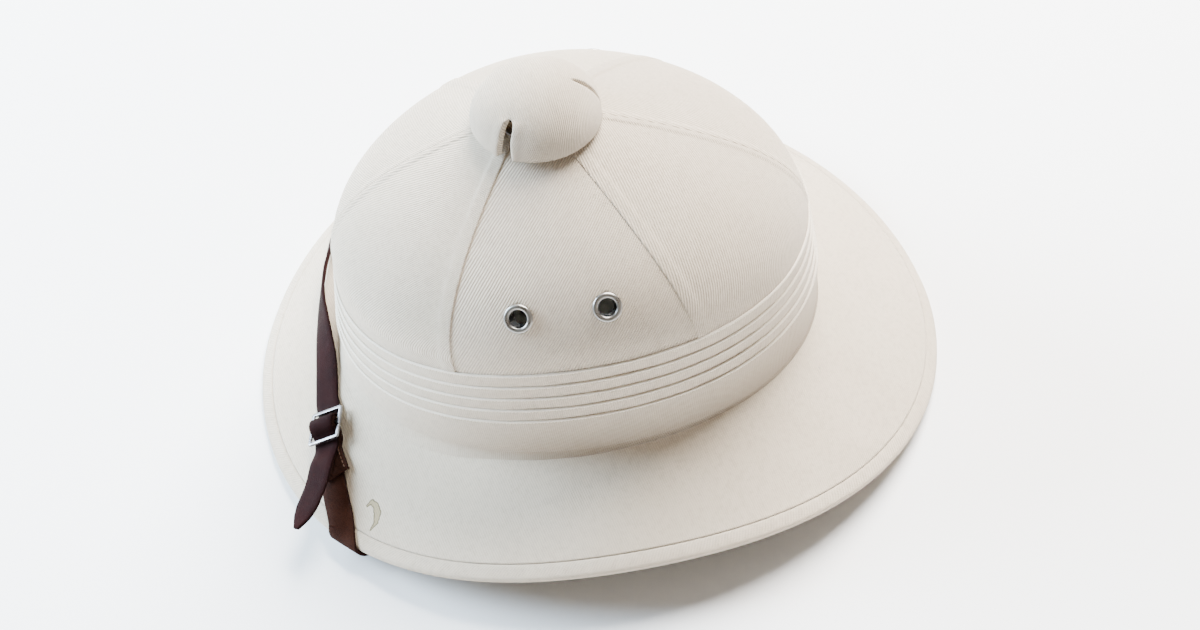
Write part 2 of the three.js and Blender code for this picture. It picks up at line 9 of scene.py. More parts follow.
import bmesh
import bpy
from mathutils import Matrix, Vector, noise


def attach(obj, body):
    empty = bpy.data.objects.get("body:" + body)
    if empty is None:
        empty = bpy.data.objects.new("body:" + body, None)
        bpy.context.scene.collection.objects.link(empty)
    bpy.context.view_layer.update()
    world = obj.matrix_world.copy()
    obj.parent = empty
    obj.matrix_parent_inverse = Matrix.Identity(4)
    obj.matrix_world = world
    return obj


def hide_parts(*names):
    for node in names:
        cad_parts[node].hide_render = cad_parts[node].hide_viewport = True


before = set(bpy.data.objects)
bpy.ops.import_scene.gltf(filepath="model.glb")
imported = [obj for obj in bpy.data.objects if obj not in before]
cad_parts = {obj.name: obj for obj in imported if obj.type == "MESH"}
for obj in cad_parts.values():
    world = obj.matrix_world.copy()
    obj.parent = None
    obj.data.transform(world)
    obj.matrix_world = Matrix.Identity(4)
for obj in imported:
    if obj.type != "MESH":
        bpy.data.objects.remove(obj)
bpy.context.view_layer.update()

# ---------------------------------------------------------------- sizes

MILLIMETRES = 1000  # in a metre
CROWN_HALF_LENGTH, CROWN_HALF_WIDTH = 112.5, 94.0
CROWN_INSET = 4.1
APEX_HEIGHT, APEX_FORWARD = 168.0, 10.0
CROWN_FULLNESS = 2.2
TOP_RISE = 0.93
CREASE_HEIGHT, CREASE_BACK_RISE, CREASE_SIDE_RISE = 40.2, 7.9, 6.2
BRIM_HALF_LENGTH, BRIM_HALF_WIDTH = 166.4, 147.0
BRIM_BACK_REACH, BRIM_BACK_POINT, BRIM_SQUARE = 4.8, 2.3, 1.15
BRIM_SIDE_LIFT, BRIM_QUARTER_DROP, BRIM_REST_CUT = 11.9, 2.2, 0.9
BRIM_CROWNING, BRIM_EDGE_DROOP = 0.6, radians(2.3)
BRIM_FOOT_OUT, BRIM_UNDER_BINDING, BRIM_PROUD = 1, 0.2, 0.12
BRIM_MIDDLE = BRIM_BACK_REACH + BRIM_BACK_POINT
EDGE_HALF = 2.2
BINDING_WIDTH, BINDING_WALL = 5.7, 0.9
CLOTH = 1.0
GAP = 0.3
CROWN_PITH, BRIM_PITH = 4, 3
SEAMS = [radians(angle) for angle in (0, 56.6, 123.2, 180, 236.8, 303.4, 360)]
PANELS = ("panel_front_left", "panel_left", "panel_back_left",
          "panel_back_right", "panel_right", "panel_front_right")
EYELET_PANELS = (1, 4)
BAND_LAYERS = (  # name, height of the fold above the crease, reach from the crown's outline
    ("pleat_1", 52.4, -2.84),
    ("pleat_2", 45.2, -1.88),
    ("pleat_3", 38.4, -0.92),
    ("pleat_4", 31.7, 0.04),
    ("band_base", 24.9, 1.0),
)
BAND_TOP = BAND_LAYERS[0][1]
BAND_MEAN_RADIUS, WALL_MEAN_RADIUS, EDGE_MEAN_RADIUS = 104, 105, 152
LEFT_EYELET_RISE, RIGHT_EYELET_RISE, EYELET_SPREAD = 0.36, 0.21, radians(13.25)
EYELET_RADIUS, EYELET_HOLE = 6.3, 3.8
CAP_FORWARD, CAP_RADIUS, CAP_RIM, CAP_HEIGHT = 7.8, 28.5, 161.5, 22.5
STRAP_WIDTH, LEATHER = 13.0, 1.4


def lerp(low, high, part):
    return low + (high - low) * part


def ease(low, high, value):
    """0 below low, 1 above high and smooth between them; low may be the larger."""
    part = min(1.0, max(0.0, (value - low) / (high - low)))
    return part * part * (3 - 2 * part)


def stops(count, low=0.0, high=1.0):
    return [lerp(low, high, i / count) for i in range(count + 1)]


def close_at_edges(edge, count, first):
    """Stations from 0 to 1: those of the edge, evenly on from the first one inside, and the edge again."""
    return edge + stops(count, first, 1 - first) + [1 - part for part in reversed(edge)]


# ---------------------------------------------------------------- the helmet's outlines

def oval(heading, half_length, half_width):
    return half_length * half_width / hypot(half_width * cos(heading), half_length * sin(heading))


def crown_radius(heading):
    return oval(heading, CROWN_HALF_LENGTH, CROWN_HALF_WIDTH)


def crease_height(heading):
    return CREASE_HEIGHT - CREASE_BACK_RISE * cos(heading) - CREASE_SIDE_RISE * cos(2 * heading)


def edge_radius(heading):
    reach = BRIM_BACK_REACH * cos(heading) + BRIM_BACK_POINT * cos(3 * heading)
    return oval(heading, BRIM_HALF_LENGTH, BRIM_HALF_WIDTH) - reach - BRIM_SQUARE * cos(4 * heading)


def edge_height(heading):
    saddle = BRIM_SIDE_LIFT * (1 - cos(2 * heading))
    quarter = BRIM_QUARTER_DROP * (cos(heading) - cos(3 * heading))
    return EDGE_HALF + max(0.0, saddle - quarter - BRIM_REST_CUT)


def brim_slope(heading):
    drop = crease_height(heading) - edge_height(heading)
    return atan2(drop, edge_radius(heading) - crown_radius(heading) - BRIM_FOOT_OUT) + BRIM_EDGE_DROOP


def at(heading, radius, height, forward=0.0):
    return Vector((radius * sin(heading), -radius * cos(heading) - forward, height))


def edge_point(heading, inwards, above):
    """A place in the binding's section: inwards from the roll's centre, and above its middle line."""
    slope = brim_slope(heading)
    radius = edge_radius(heading) - EDGE_HALF - inwards * cos(slope) + above * sin(slope)
    return at(heading, radius, edge_height(heading) + inwards * sin(slope) + above * cos(slope))


def brim_line(heading, part, depth=0.0):
    """Radius and height of the brim's top, from the crease at part 0 to the binding at part 1."""
    slope = brim_slope(heading)
    inwards, above = BINDING_WIDTH + GAP, EDGE_HALF - BRIM_UNDER_BINDING
    outer = edge_radius(heading) - EDGE_HALF - inwards * cos(slope) + above * sin(slope)
    low = edge_height(heading) + inwards * sin(slope) + above * cos(slope)
    crowning = BRIM_CROWNING * 4 * part * (1 - part)
    radius = lerp(crown_radius(heading) + BRIM_FOOT_OUT, outer, part) - depth * sin(slope)
    return radius, lerp(crease_height(heading), low, part) + crowning - depth * cos(slope)


def brim_point(heading, part, depth=0.0):
    return at(heading, *brim_line(heading, part, depth))


def crown_line(heading, rise, depth=0.0):
    """Radius, height and forward lean of the crown's cloth, or depth inside it."""
    base = crown_radius(heading) - CROWN_INSET
    bottom = crease_height(heading) + BAND_TOP
    tall = APEX_HEIGHT - bottom
    inwards = base * CROWN_FULLNESS * rise ** (CROWN_FULLNESS - 1)
    scale = depth / hypot(inwards, tall)
    radius = base * (1 - rise ** CROWN_FULLNESS) - tall * scale
    return radius, bottom + tall * rise - inwards * scale, APEX_FORWARD * rise


def crown_point(heading, rise, depth=0.0):
    return at(heading, *crown_line(heading, rise, depth))


def band_point(heading, reach, height):
    return at(heading, crown_radius(heading) + reach, crease_height(heading) + height)


CROWN_SWELLS, BRIM_SWELLS = ((34, 0.28), (13, 0.1)), ((42, 0.55), (16, 0.16))
BAND_SWELLS, CORD_SWELLS = ((17, 0.34),), ((2.6, 0.05),)


def uneven(place, swells):
    """A small, smooth unevenness of cloth over stiff material: each swell has a length and a height."""
    return sum(height * noise.noise(Vector(place) / length) for length, height in swells)


BINDING_PUCKERS = ((210, 0, 0.072), (133, 1, 0.054))
FOLD_RIPPLES = ((23, 2, 0.04), (61, 1, 0.024))


def ripple(heading, waves, shift=1):
    """How far a line round the helmet wanders: each wave has a number, a phase and a height."""
    return sum(height * sin(heading * number + phase * shift) for number, phase, height in waves)


# ---------------------------------------------------------------- mesh helpers

def to_part(place):
    return Vector((place[0], place[1] - BRIM_MIDDLE, place[2])) / MILLIMETRES


def finish_piece(bm, name, material, nodes):
    """Makes the mesh an object in the part's frame that rides on the helmet and stands for its nodes."""
    for vert in bm.verts:
        vert.co = to_part(vert.co)
    mesh = bpy.data.meshes.new(name)
    bm.to_mesh(mesh)
    bm.free()
    mesh.polygons.foreach_set("use_smooth", [True] * len(mesh.polygons))
    mesh.materials.append(material)
    piece = bpy.data.objects.new(name, mesh)
    bpy.context.scene.collection.objects.link(piece)
    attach(piece, "root")
    if nodes:
        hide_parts(*nodes)
    return piece


JOINED_WITHIN, RING_JOINED_WITHIN = 0.004, 0.0005


def cloth_grid(us, vs, place, weave):
    """A grid of cloth with a station for each u and v; weave gives its cloth coordinates in mm."""
    bm = bmesh.new()
    bmesh.ops.create_grid(bm, x_segments=len(us) - 1, y_segments=len(vs) - 1, size=1)
    layer = bm.loops.layers.uv.new("weave")
    spots = {}
    for vert in bm.verts:
        column = round((vert.co.x + 1) / 2 * (len(us) - 1))
        row = round((vert.co.y + 1) / 2 * (len(vs) - 1))
        spots[vert] = (us[column], vs[row])
    for face in bm.faces:
        for loop in face.loops:
            loop[layer].uv = [length / MILLIMETRES for length in weave(*spots[loop.vert])]
    for vert, spot in spots.items():
        vert.co = place(*spot)
    bmesh.ops.remove_doubles(bm, verts=bm.verts, dist=JOINED_WITHIN)
    return bm


WALL_STEPS, BRIM_STEPS, BINDING_STEPS, BAND_STEPS, CORD_STEPS = 150, 420, 720, 420, 1500
WALL_ROW, BINDING_ROW, CORD_ROW = 4.0, 1.1, 0.5


def full_turn(count):
    return stops(count, 0, 2 * pi)


def swept(section, turns, weave):
    """A closed section carried round the helmet; weave takes a heading and a row of the section."""
    headings = full_turn(turns)
    rows = {heading: section(heading) for heading in headings}
    count = len(rows[headings[0]])

    def place(heading, row):
        return rows[heading][row % count]

    return cloth_grid(headings, list(range(count + 1)), place, weave)


def thicken(piece, thickness):
    """Gives cloth its thickness, inwards from its outer face."""
    wall = piece.modifiers.new("wall", "SOLIDIFY")
    wall.thickness = thickness / MILLIMETRES
    wall.offset = -1.0
    wall.use_even_offset = False


# ---------------------------------------------------------------- shader maths

class Value:
    """A number on a socket that Python's operators work on."""

    def __init__(self, shader, socket):
        self.shader = shader
        self.socket = socket

    def maths(self, operation, *values):
        return self.shader.number("ShaderNodeMath", {"operation": operation}, dict(enumerate(values)))

    def __add__(self, other):
        return self.maths("ADD", self, other)

    def __sub__(self, other):
        return self.maths("SUBTRACT", self, other)

    def __rsub__(self, other):
        return self.maths("SUBTRACT", other, self)

    def __mul__(self, other):
        return self.maths("MULTIPLY", self, other)

    __radd__ = __add__
    __rmul__ = __mul__

    def wave(self, period):
        """From -1 to 1 and back over each period."""
        return self.maths("SINE", self * (2 * pi / period))

    def size(self):
        return self.maths("ABSOLUTE", self)

    def root(self):
        return self.maths("SQRT", self)

    def least(self, other):
        return self.maths("MINIMUM", self, other)

    def most(self, other):
        return self.maths("MAXIMUM", self, other)

    def between(self, low, high):
        """0 at low, 1 at high and smooth between them."""
        settings = {"interpolation_type": "SMOOTHSTEP", "clamp": True}
        values = {"Value": self, "From Min": low, "From Max": high}
        return self.shader.number("ShaderNodeMapRange", settings, values)


class Shader:
    """A material whose nodes are added by expressions."""

    def __init__(self, name, roughness, metallic=0.0):
        self.material = bpy.data.materials.new(name)
        self.material.use_nodes = True
        self.tree = self.material.node_tree
        self.surface = self.tree.nodes["Principled BSDF"]
        self.surface.inputs["Roughness"].default_value = roughness
        self.surface.inputs["Metallic"].default_value = metallic

    def set(self, node, socket, value):
        target = node.inputs[socket]
        source = value.socket if isinstance(value, Value) else value
        if isinstance(source, bpy.types.NodeSocket):
            self.tree.links.new(source, target)
        elif target.type == "RGBA" and len(source) == 3:
            target.default_value = (*source, 1.0)
        else:
            target.default_value = source

    def node(self, kind, settings=None, values=None):
        """A node of this kind, with its settings made first and then its sockets."""
        node = self.tree.nodes.new(kind)
        for setting, value in (settings or {}).items():
            setattr(node, setting, value)
        for socket, value in (values or {}).items():
            self.set(node, socket, value)
        return node

    def number(self, kind, settings=None, values=None):
        return Value(self, self.node(kind, settings, values).outputs[0])

    def mix(self, part, low, high):
        """The low colour where part is 0 and the high one where it is 1."""
        node = self.node("ShaderNodeMix", {"data_type": "RGBA"}, {0: part, 6: low, 7: high})
        return node.outputs[2]

    def noise(self, vector, scale, detail=2.0, roughness=0.5):
        values = {"Vector": vector, "Scale": scale, "Detail": detail, "Roughness": roughness}
        return self.number("ShaderNodeTexNoise", None, values)

    def places(self):
        return self.node("ShaderNodeTexCoord").outputs["Object"]

    def weave(self):
        return self.node("ShaderNodeUVMap", {"uv_map": "weave"}).outputs[0]

    def axes(self, vector):
        """The three parts of a vector, in millimetres."""
        node = self.node("ShaderNodeSeparateXYZ", None, {0: vector})
        return [Value(self, output) * MILLIMETRES for output in node.outputs]

    def bump(self, height, distance):
        """A normal from a height of 0 to 1 that stands for a distance in metres."""
        return self.node("ShaderNodeBump", None, {"Height": height, "Distance": distance}).outputs[0]

    def paint(self, **values):
        for socket, value in values.items():
            self.set(self.surface, socket.replace("_", " "), value)
        return self.material


# ---------------------------------------------------------------- materials

CREAM, CREAM_DEEP = (0.65, 0.555, 0.435), (0.60, 0.505, 0.385)
CREAM_SHADE = (0.40, 0.325, 0.24)
# painted shade for the band's foot, darkest at the crease above the brim
CREASE_PAINTED_SHADE = (0.31, 0.245, 0.175)
STAIN_BODY, STAIN_RIM, SPECK = (0.30, 0.235, 0.12), (0.10, 0.078, 0.036), (0.30, 0.26, 0.24)
# the khaki is the lining's own colour, kept dark as painted shade inside the eyelet holes
KHAKI, KHAKI_DEEP, KHAKI_SHADE = (0.17, 0.155, 0.105), (0.13, 0.12, 0.08), (0.07, 0.065, 0.045)
CORD, CORD_DEEP, CORD_SHADE = (0.77, 0.69, 0.58), (0.71, 0.63, 0.515), (0.58, 0.52, 0.44)
PORE, WORN_HIDE, RAW_EDGE = (0.006, 0.002, 0.002), (0.034, 0.011, 0.009), (0.011, 0.005, 0.0048)
# raw hide tones: the leather's flesh side, darkened as painted shade for the shaded fold
RAW_HIDE, RAW_HIDE_PALE = (0.021, 0.0078, 0.005), (0.040, 0.016, 0.010)
THREAD, THREAD_PALE = (0.11, 0.052, 0.032), (0.21, 0.115, 0.072)
TWILL_PITCH = 1.02
YARN_SHARE, YARN_SLANT = 0.62, 0.5
STAIN_HOOK = (  # places and half widths, in the part's frame
    (94.5, -108.9, 0.8), (93.4, -106.7, 1.25), (96.1, -104.8, 1.6), (99.6, -104.2, 1.9),
    (103.4, -105.0, 1.4), (106.3, -107.8, 0.5),
)
SPECKS = ((52.5, 101.3, 0.4), (64.9, 140.7, 0.35), (93.5, 122.4, 0.35), (92.6, 21.4, 0.25))


def twill(name, angle, pitch, depth, marks_and_shade=None):
    """Cotton twill whose ribs run at an angle to the cloth's first direction."""
    shader = Shader(name, 0.88)
    u, v, _ = shader.axes(shader.weave())
    places = shader.places()
    along = u * cos(angle) + v * sin(angle)
    across = v * cos(angle) - u * sin(angle)
    drift = shader.noise(places, scale=60.0, detail=3.0)
    slub = shader.noise(places, scale=900.0)
    ribs = (across + drift * 0.9 + slub * 0.4).wave(pitch) * 0.5 + 0.5
    yarns = (along + across * YARN_SLANT).wave(pitch * YARN_SHARE) * 0.5 + 0.5
    height = ribs * 0.75 + yarns * 0.25 + slub * 0.45
    broad = shader.noise(places, scale=14.0, detail=4.0, roughness=0.55)
    tone = shader.mix(broad.between(0.38, 0.72), CREAM, CREAM_DEEP)
    flecks = shader.noise(places, scale=380.0, detail=3.0, roughness=0.6).between(0.42, 0.7)
    groove = (1 - ribs) * depth + (1 - yarns) * 0.12 + slub * 0.2 + flecks * 0.24
    cloth = shader.mix(groove, tone, CREAM_SHADE)
    # the brim gets a real stain and specks; the band's foot gets painted shade towards the crease
    if marks_and_shade:
        cloth = marks_and_shade(shader, cloth)
    relief = shader.bump(height, depth * 0.0004)
    return shader.paint(Base_Color=cloth, Roughness=0.8 + ribs * 0.12, Normal=relief,
                        Sheen_Weight=0.12, Sheen_Roughness=0.6)


def near_path(shader, x, y, path):
    """How far inside a stroke a place is: the path has places and half widths, all in millimetres."""
    reach = None
    for (x0, y0, r0), (x1, y1, r1) in zip(path, path[1:]):
        length = hypot(x1 - x0, y1 - y0)
        ux, uy = (x1 - x0) / length, (y1 - y0) / length
        along = ((x - x0) * ux + (y - y0) * uy).most(0.0).least(length)
        off_x = x - x0 - along * ux
        off_y = y - y0 - along * uy
        inside = along * ((r1 - r0) / length) + r0 - (off_x * off_x + off_y * off_y).root()
        reach = inside if reach is None else reach.most(inside)
    return reach


def brim_marks(shader, cloth):
    """A dried hook-shaped stain at the front left, and a few specks."""
    x, y, _ = shader.axes(shader.places())
    hook = near_path(shader, x, y, STAIN_HOOK)
    wobble = (shader.noise(shader.places(), scale=700.0, detail=3.0) - 0.5) * 0.9
    body = (hook + wobble).between(0.0, 0.25)
    core = (hook + wobble - 0.45).between(0.0, 0.3)
    rim = body * (1 - core)
    cloth = shader.mix(body * 0.9, cloth, STAIN_BODY)
    cloth = shader.mix(rim * 0.9, cloth, STAIN_RIM)
    for place_x, place_y, half in SPECKS:
        speck = near_path(shader, x, y, ((place_x, place_y, half), (place_x + half, place_y + half, half)))
        cloth = shader.mix(speck.between(0.0, 0.25) * 0.75, cloth, SPECK)
    return cloth


def foot_painted_shade(shader, cloth):
    """Painted shade low on the band, darker towards the crease above the brim, with soft patches."""
    _, height, _ = shader.axes(shader.weave())
    _, y, _ = shader.axes(shader.places())
    patches = shader.noise(shader.places(), scale=45.0, detail=3.0) * 0.3
    low = 1 - height.between(2.0, 26.0)
    return shader.mix((low * 0.8 + patches) * y.between(-85.0, -5.0), cloth, CREASE_PAINTED_SHADE)


def lining():
    """Plain khaki cotton under the brim and inside the crown, kept dark as painted shade seen through the
    eyelet holes.
    """
    shader = Shader("lining_cotton", 0.9)
    x, y, z = shader.axes(shader.places())
    threads = (x + y).wave(0.8) * 0.5 + (y - x + z).wave(0.8) * 0.5
    broad = shader.noise(shader.places(), scale=18.0, detail=4.0)
    tone = shader.mix(broad.between(0.35, 0.7), KHAKI, KHAKI_DEEP)
    cloth = shader.mix((threads + 1) * 0.12, tone, KHAKI_SHADE)
    return shader.paint(Base_Color=cloth, Normal=shader.bump(threads, 0.0001))


def cotton_cord():
    """Off-white whipping thread along the folds of the band."""
    shader = Shader("cotton_cord", 0.84)
    fibres = shader.noise(shader.places(), scale=2400.0, detail=3.0)
    broad = shader.noise(shader.places(), scale=16.0, detail=3.0)
    tone = shader.mix(broad.between(0.35, 0.7), CORD, CORD_DEEP)
    tone = shader.mix(fibres.between(0.5, 0.8) * 0.25, tone, CORD_SHADE)
    return shader.paint(Base_Color=tone, Normal=shader.bump(fibres, 0.0002))


def leather(name, deep, pale):
    """Dark reddish-brown strap leather, with fine pores, creases and raw edges."""
    shader = Shader(name, 0.55)
    _, v, _ = shader.axes(shader.weave())
    places = shader.places()
    grain = {"Vector": places, "Scale": 1500.0}
    pores = shader.number("ShaderNodeTexVoronoi", {"feature": "DISTANCE_TO_EDGE"}, grain) * 2.2
    broad = shader.noise(places, scale=70.0, detail=4.0)
    worn = shader.noise(places, scale=260.0, detail=4.0, roughness=0.6)
    streak = shader.noise(shader.weave(), scale=120.0, detail=3.0)
    tone = shader.mix(broad.between(0.3, 0.75), deep, pale)
    tone = shader.mix((1 - pores.between(0.05, 0.5)) * 0.35, tone, PORE)
    tone = shader.mix(worn.between(0.58, 0.78) * 0.3, tone, WORN_HIDE)
    raw = (v.size() + worn * 0.25).between(6.2, 6.4)
    tone = shader.mix(raw * 0.6, tone, RAW_EDGE)
    rough = 0.55 + worn * 0.16 + raw * 0.25 + streak * 0.06
    height = pores.between(0.0, 0.6) * 0.6 + worn * 0.4
    return shader.paint(Base_Color=tone, Roughness=rough, Specular_IOR_Level=0.03,
                        Normal=shader.bump(height, 0.00012))


def raw_leather():
    """The rougher flesh side and the cut ends of the straps, kept dark as painted shade for the fold that
    lies in the tail's shadow.
    """
    shader = Shader("strap_raw_side", 0.85)
    nap = shader.noise(shader.places(), scale=1400.0, detail=4.0, roughness=0.65)
    tone = shader.mix(nap.between(0.3, 0.7), RAW_HIDE, RAW_HIDE_PALE)
    return shader.paint(Base_Color=tone, Specular_IOR_Level=0.04, Normal=shader.bump(nap, 0.0003))


def strap_thread():
    """The waxed thread of the fold's seam."""
    shader = Shader("strap_thread", 0.6)
    twist = shader.noise(shader.places(), scale=3000.0)
    tone = shader.mix(twist, THREAD, THREAD_PALE)
    return shader.paint(Base_Color=tone, Normal=shader.bump(twist, 0.0001))


def nickel(name, bright, dulled):
    """Nickel plate with hairline scratches and dulled patches."""
    shader = Shader(name, 0.24, metallic=1.0)
    places = shader.places()
    dull = shader.noise(places, scale=240.0, detail=4.0, roughness=0.6)
    hair = shader.noise(places, scale=2600.0, roughness=0.7)
    tone = shader.mix(dull.between(0.45, 0.7) * 0.6, bright, dulled)
    rough = 0.2 + dull.between(0.35, 0.7) * 0.22 + hair * 0.08
    return shader.paint(Base_Color=tone, Roughness=rough, Normal=shader.bump(hair, 0.00003))


def dark_metal(name, clean, rusted):
    """Dark metal with patches of rust; on the eyelet barrels its near-black tone is painted shade inside
    the holes.
    """
    shader = Shader(name, 0.5, metallic=0.8)
    rust = shader.noise(shader.places(), scale=300.0, detail=4.0)
    tone = shader.mix(rust.between(0.4, 0.6), clean, rusted)
    return shader.paint(Base_Color=tone, Roughness=0.45 + rust * 0.3)


# ---------------------------------------------------------------- crown, band and brim

EYELETS = (
    ("eyelet_left_front", pi / 2 - EYELET_SPREAD, LEFT_EYELET_RISE),
    ("eyelet_left_back", pi / 2 + EYELET_SPREAD, LEFT_EYELET_RISE),
    ("eyelet_right_back", 3 * pi / 2 - EYELET_SPREAD, RIGHT_EYELET_RISE),
    ("eyelet_right_front", 3 * pi / 2 + EYELET_SPREAD, RIGHT_EYELET_RISE),
)


def eyelet_axes(heading, rise):
    """The eyelet's place on the crown and its turn, with z looking out of the crown."""
    place = crown_point(heading, rise)
    along = crown_point(heading + 0.02, rise) - place
    up = crown_point(heading, rise + 0.02) - place
    out = along.cross(up).normalized()
    return Matrix.Translation(place) @ out.to_track_quat("Z", "Y").to_matrix().to_4x4()


PIERCING_DEPTH, CLOTH_HOLE, WALL_HOLE = 13, 5.2, 5.5


def pierce(bm, radius, walled=False):
    """Opens the cloth or wall behind each eyelet."""
    for _, heading, rise in EYELETS:
        inverse = eyelet_axes(heading, rise).inverted()

        def near(place, reach):
            local = inverse @ place
            return hypot(local.x, local.y) < reach and abs(local.z) < PIERCING_DEPTH

        holed = [face for face in bm.faces if near(face.calc_center_median(), radius)]
        if not holed:
            continue
        bmesh.ops.delete(bm, geom=holed, context="FACES")
        if walled:
            rim = [edge for edge in bm.edges if edge.is_boundary and near(edge.verts[0].co, 2 * radius)]
            bmesh.ops.bridge_loops(bm, edges=rim)


SEAM_HEIGHTS = {1: 0.58, 2: 0.42, 4: 0.42, 5: 0.58}
CENTRE_SEAM_HEIGHT, SEAM_TUCK = 0.5, 0.15
CENTRE_SEAM_LAP, SIDE_SEAM_LAP, SEAM_TURN = (2.3, 3.3), (4.8, 7.0), (0.0, 0.7)
PANEL_OVERLAP, PANEL_PARTING = 1.0, 0.02
PANEL_FOOT, PANEL_PROUD = 70, 0.35
PANEL_EDGE = [0.0, 0.003, 0.007, 0.012, 0.018, 0.026]


def lap_height(panel, heading, rise):
    """How far the cloth stands off the crown beside a seam, over the turned-in allowances."""
    radius = max(1.0, crown_line(heading, rise)[0])
    first = (heading - SEAMS[panel]) * radius
    last = (SEAMS[panel + 1] - heading) * radius
    height = 0.0
    for seam, gap in ((panel, first), (panel + 1, last)):
        eyelet_side = panel in EYELET_PANELS
        if seam not in SEAM_HEIGHTS:
            height += CENTRE_SEAM_HEIGHT * (1 - ease(*CENTRE_SEAM_LAP, gap))
        elif not eyelet_side:
            height += SEAM_HEIGHTS[seam] * (1 - ease(*SIDE_SEAM_LAP, gap))
        if not eyelet_side:
            height -= SEAM_TUCK * (1 - ease(*SEAM_TURN, gap)) ** 2
    return height


def crown_panel(index, material):
    """One cloth panel of the crown, turned in at its seams and tucked behind the band."""
    name = PANELS[index]
    low, high = SEAMS[index], SEAMS[index + 1]
    trim = (-PANEL_OVERLAP if index in EYELET_PANELS else PANEL_PARTING) / CROWN_HALF_WIDTH
    middle = (low + high) / 2
    columns = close_at_edges(PANEL_EDGE, 76, 0.035)
    rises = [-0.09, -0.04] + stops(70, 0.0, TOP_RISE + 0.02)

    def place(part, rise):
        heading = lerp(low + trim, high - trim, part)
        if rise < 0:
            point = band_point(heading, -CROWN_INSET, BAND_TOP + rise * PANEL_FOOT)
        else:
            proud = PANEL_PROUD * (1 - ease(0.0, 0.04, rise))
            point = crown_point(heading, rise, -lap_height(index, heading, rise) - proud)
        out = Vector((sin(heading), -cos(heading), 0.4)).normalized()
        return point + out * uneven(point, CROWN_SWELLS)

    def weave(part, rise):
        heading = lerp(low, high, part) - middle
        radius, height, _ = crown_line(middle, max(rise, 0.0))
        climbed = hypot(98 - radius, height - 90)
        return heading * max(radius, 12.0), climbed + min(rise, 0) * PANEL_FOOT

    bm = cloth_grid(columns, rises, place, weave)
    if index in EYELET_PANELS:
        pierce(bm, CLOTH_HOLE)
    thicken(finish_piece(bm, name + "_cloth", material, [name]), CLOTH)


WALL_OUTSIDE = ((0.9, -1.8), (-2, 2.5), (-5.8, 45.5))  # reach from the crown's outline and height
WALL_INSIDE = ((-10, 45.5), (-8.4, 25), (-6.6, 3), (-5.8, -2), (-3.6, -4.2), (-1, -5))


def helmet_body(material):
    """The pith wall with its lining: the crown's hollow and the underside of the brim."""
    rises = stops(30, 0.0, TOP_RISE)
    half_edge = EDGE_HALF - BINDING_WALL - 2 * GAP
    pith, deep = CLOTH + GAP, CLOTH + 2 * GAP

    def section(heading):
        outer = [edge_point(heading, 0, half_edge), edge_point(heading, BINDING_WIDTH, half_edge)]
        outer += [brim_point(heading, part, deep + 0.15) for part in (0.85, 0.7, 0.5, 0.3, 0.12)]
        outer += [band_point(heading, *spot) for spot in WALL_OUTSIDE]
        outer += [crown_point(heading, rise, pith + 0.1) for rise in rises]
        inner = [crown_point(heading, rise, pith + CROWN_PITH) for rise in reversed(rises)]
        inner += [band_point(heading, *spot) for spot in WALL_INSIDE]
        inner += [brim_point(heading, part, deep + BRIM_PITH) for part in (0.15, 0.3, 0.5, 0.7, 0.85)]
        inner += [edge_point(heading, BINDING_WIDTH + 2, -half_edge), edge_point(heading, 0, -half_edge)]
        return outer + inner

    def weave(heading, row):
        return heading * WALL_MEAN_RADIUS, row * WALL_ROW

    bm = swept(section, WALL_STEPS, weave)
    pierce(bm, WALL_HOLE, walled=True)
    finish_piece(bm, "helmet_wall", material, ["helmet_body"])


def brim_cover(material):
    """The twill over the brim's upper side, slightly uneven over the pith."""
    parts = list(reversed(stops(56, -0.02, 1.008)))

    def place(heading, part):
        point = brim_point(heading, part, -BRIM_PROUD)
        calm = ease(0.0, 0.06, part) * ease(1.0, 0.93, part)
        point.z += uneven(point, BRIM_SWELLS) * calm
        return point

    def weave(heading, part):
        return brim_point(heading, part)[:2]

    bm = cloth_grid(full_turn(BRIM_STEPS), parts, place, weave)
    thicken(finish_piece(bm, "brim_cloth", material, ["brim_cover"]), CLOTH)


BINDING_SLOT = EDGE_HALF - BINDING_WALL
BINDING_TOP = (  # inwards from the roll's centre and above the binding's top
    (BINDING_WIDTH - 0.15, -0.75), (BINDING_WIDTH - 0.35, -0.22), (BINDING_WIDTH - 0.9, 0.0),
    (BINDING_WIDTH * 0.62, 0.1), (BINDING_WIDTH * 0.3, 0.12),
)
BINDING_INSIDE = (
    (BINDING_WIDTH, -BINDING_SLOT), (-0.7, -BINDING_SLOT * 0.75),
    (-0.7, BINDING_SLOT * 0.75), (BINDING_WIDTH - 0.2, BINDING_SLOT),
)
BINDING_REST, BINDING_ROLL_END = 0.95, radians(-64)


def brim_binding(material):
    """The bias strip that is rolled round the brim's edge and stitched through."""

    def section(heading):
        top = EDGE_HALF + ripple(heading, BINDING_PUCKERS)
        outer = [edge_point(heading, inwards, top + above) for inwards, above in BINDING_TOP]
        outer.append(edge_point(heading, 0, EDGE_HALF))
        middle, height = edge_radius(heading) - EDGE_HALF, edge_height(heading)
        for part in (0.1, 0.22, 0.35, 0.5, 0.65, 0.82, 1.0):
            turn = lerp(pi / 2 - brim_slope(heading), BINDING_ROLL_END, part)
            outer.append(at(heading, middle + EDGE_HALF * cos(turn), height + EDGE_HALF * sin(turn)))
        for across in (BINDING_REST, -BINDING_REST):
            outer.append(at(heading, middle + across, height - EDGE_HALF))
        outer += [edge_point(heading, BINDING_WIDTH * part, -EDGE_HALF) for part in (0.5, 1)]
        inner = [edge_point(heading, *spot) for spot in BINDING_INSIDE]
        return list(reversed(outer)) + list(reversed(inner))

    def weave(heading, row):
        return heading * EDGE_MEAN_RADIUS, row * BINDING_ROW

    finish_piece(swept(section, BINDING_STEPS, weave), "rolled_binding", material, ["brim_binding"])


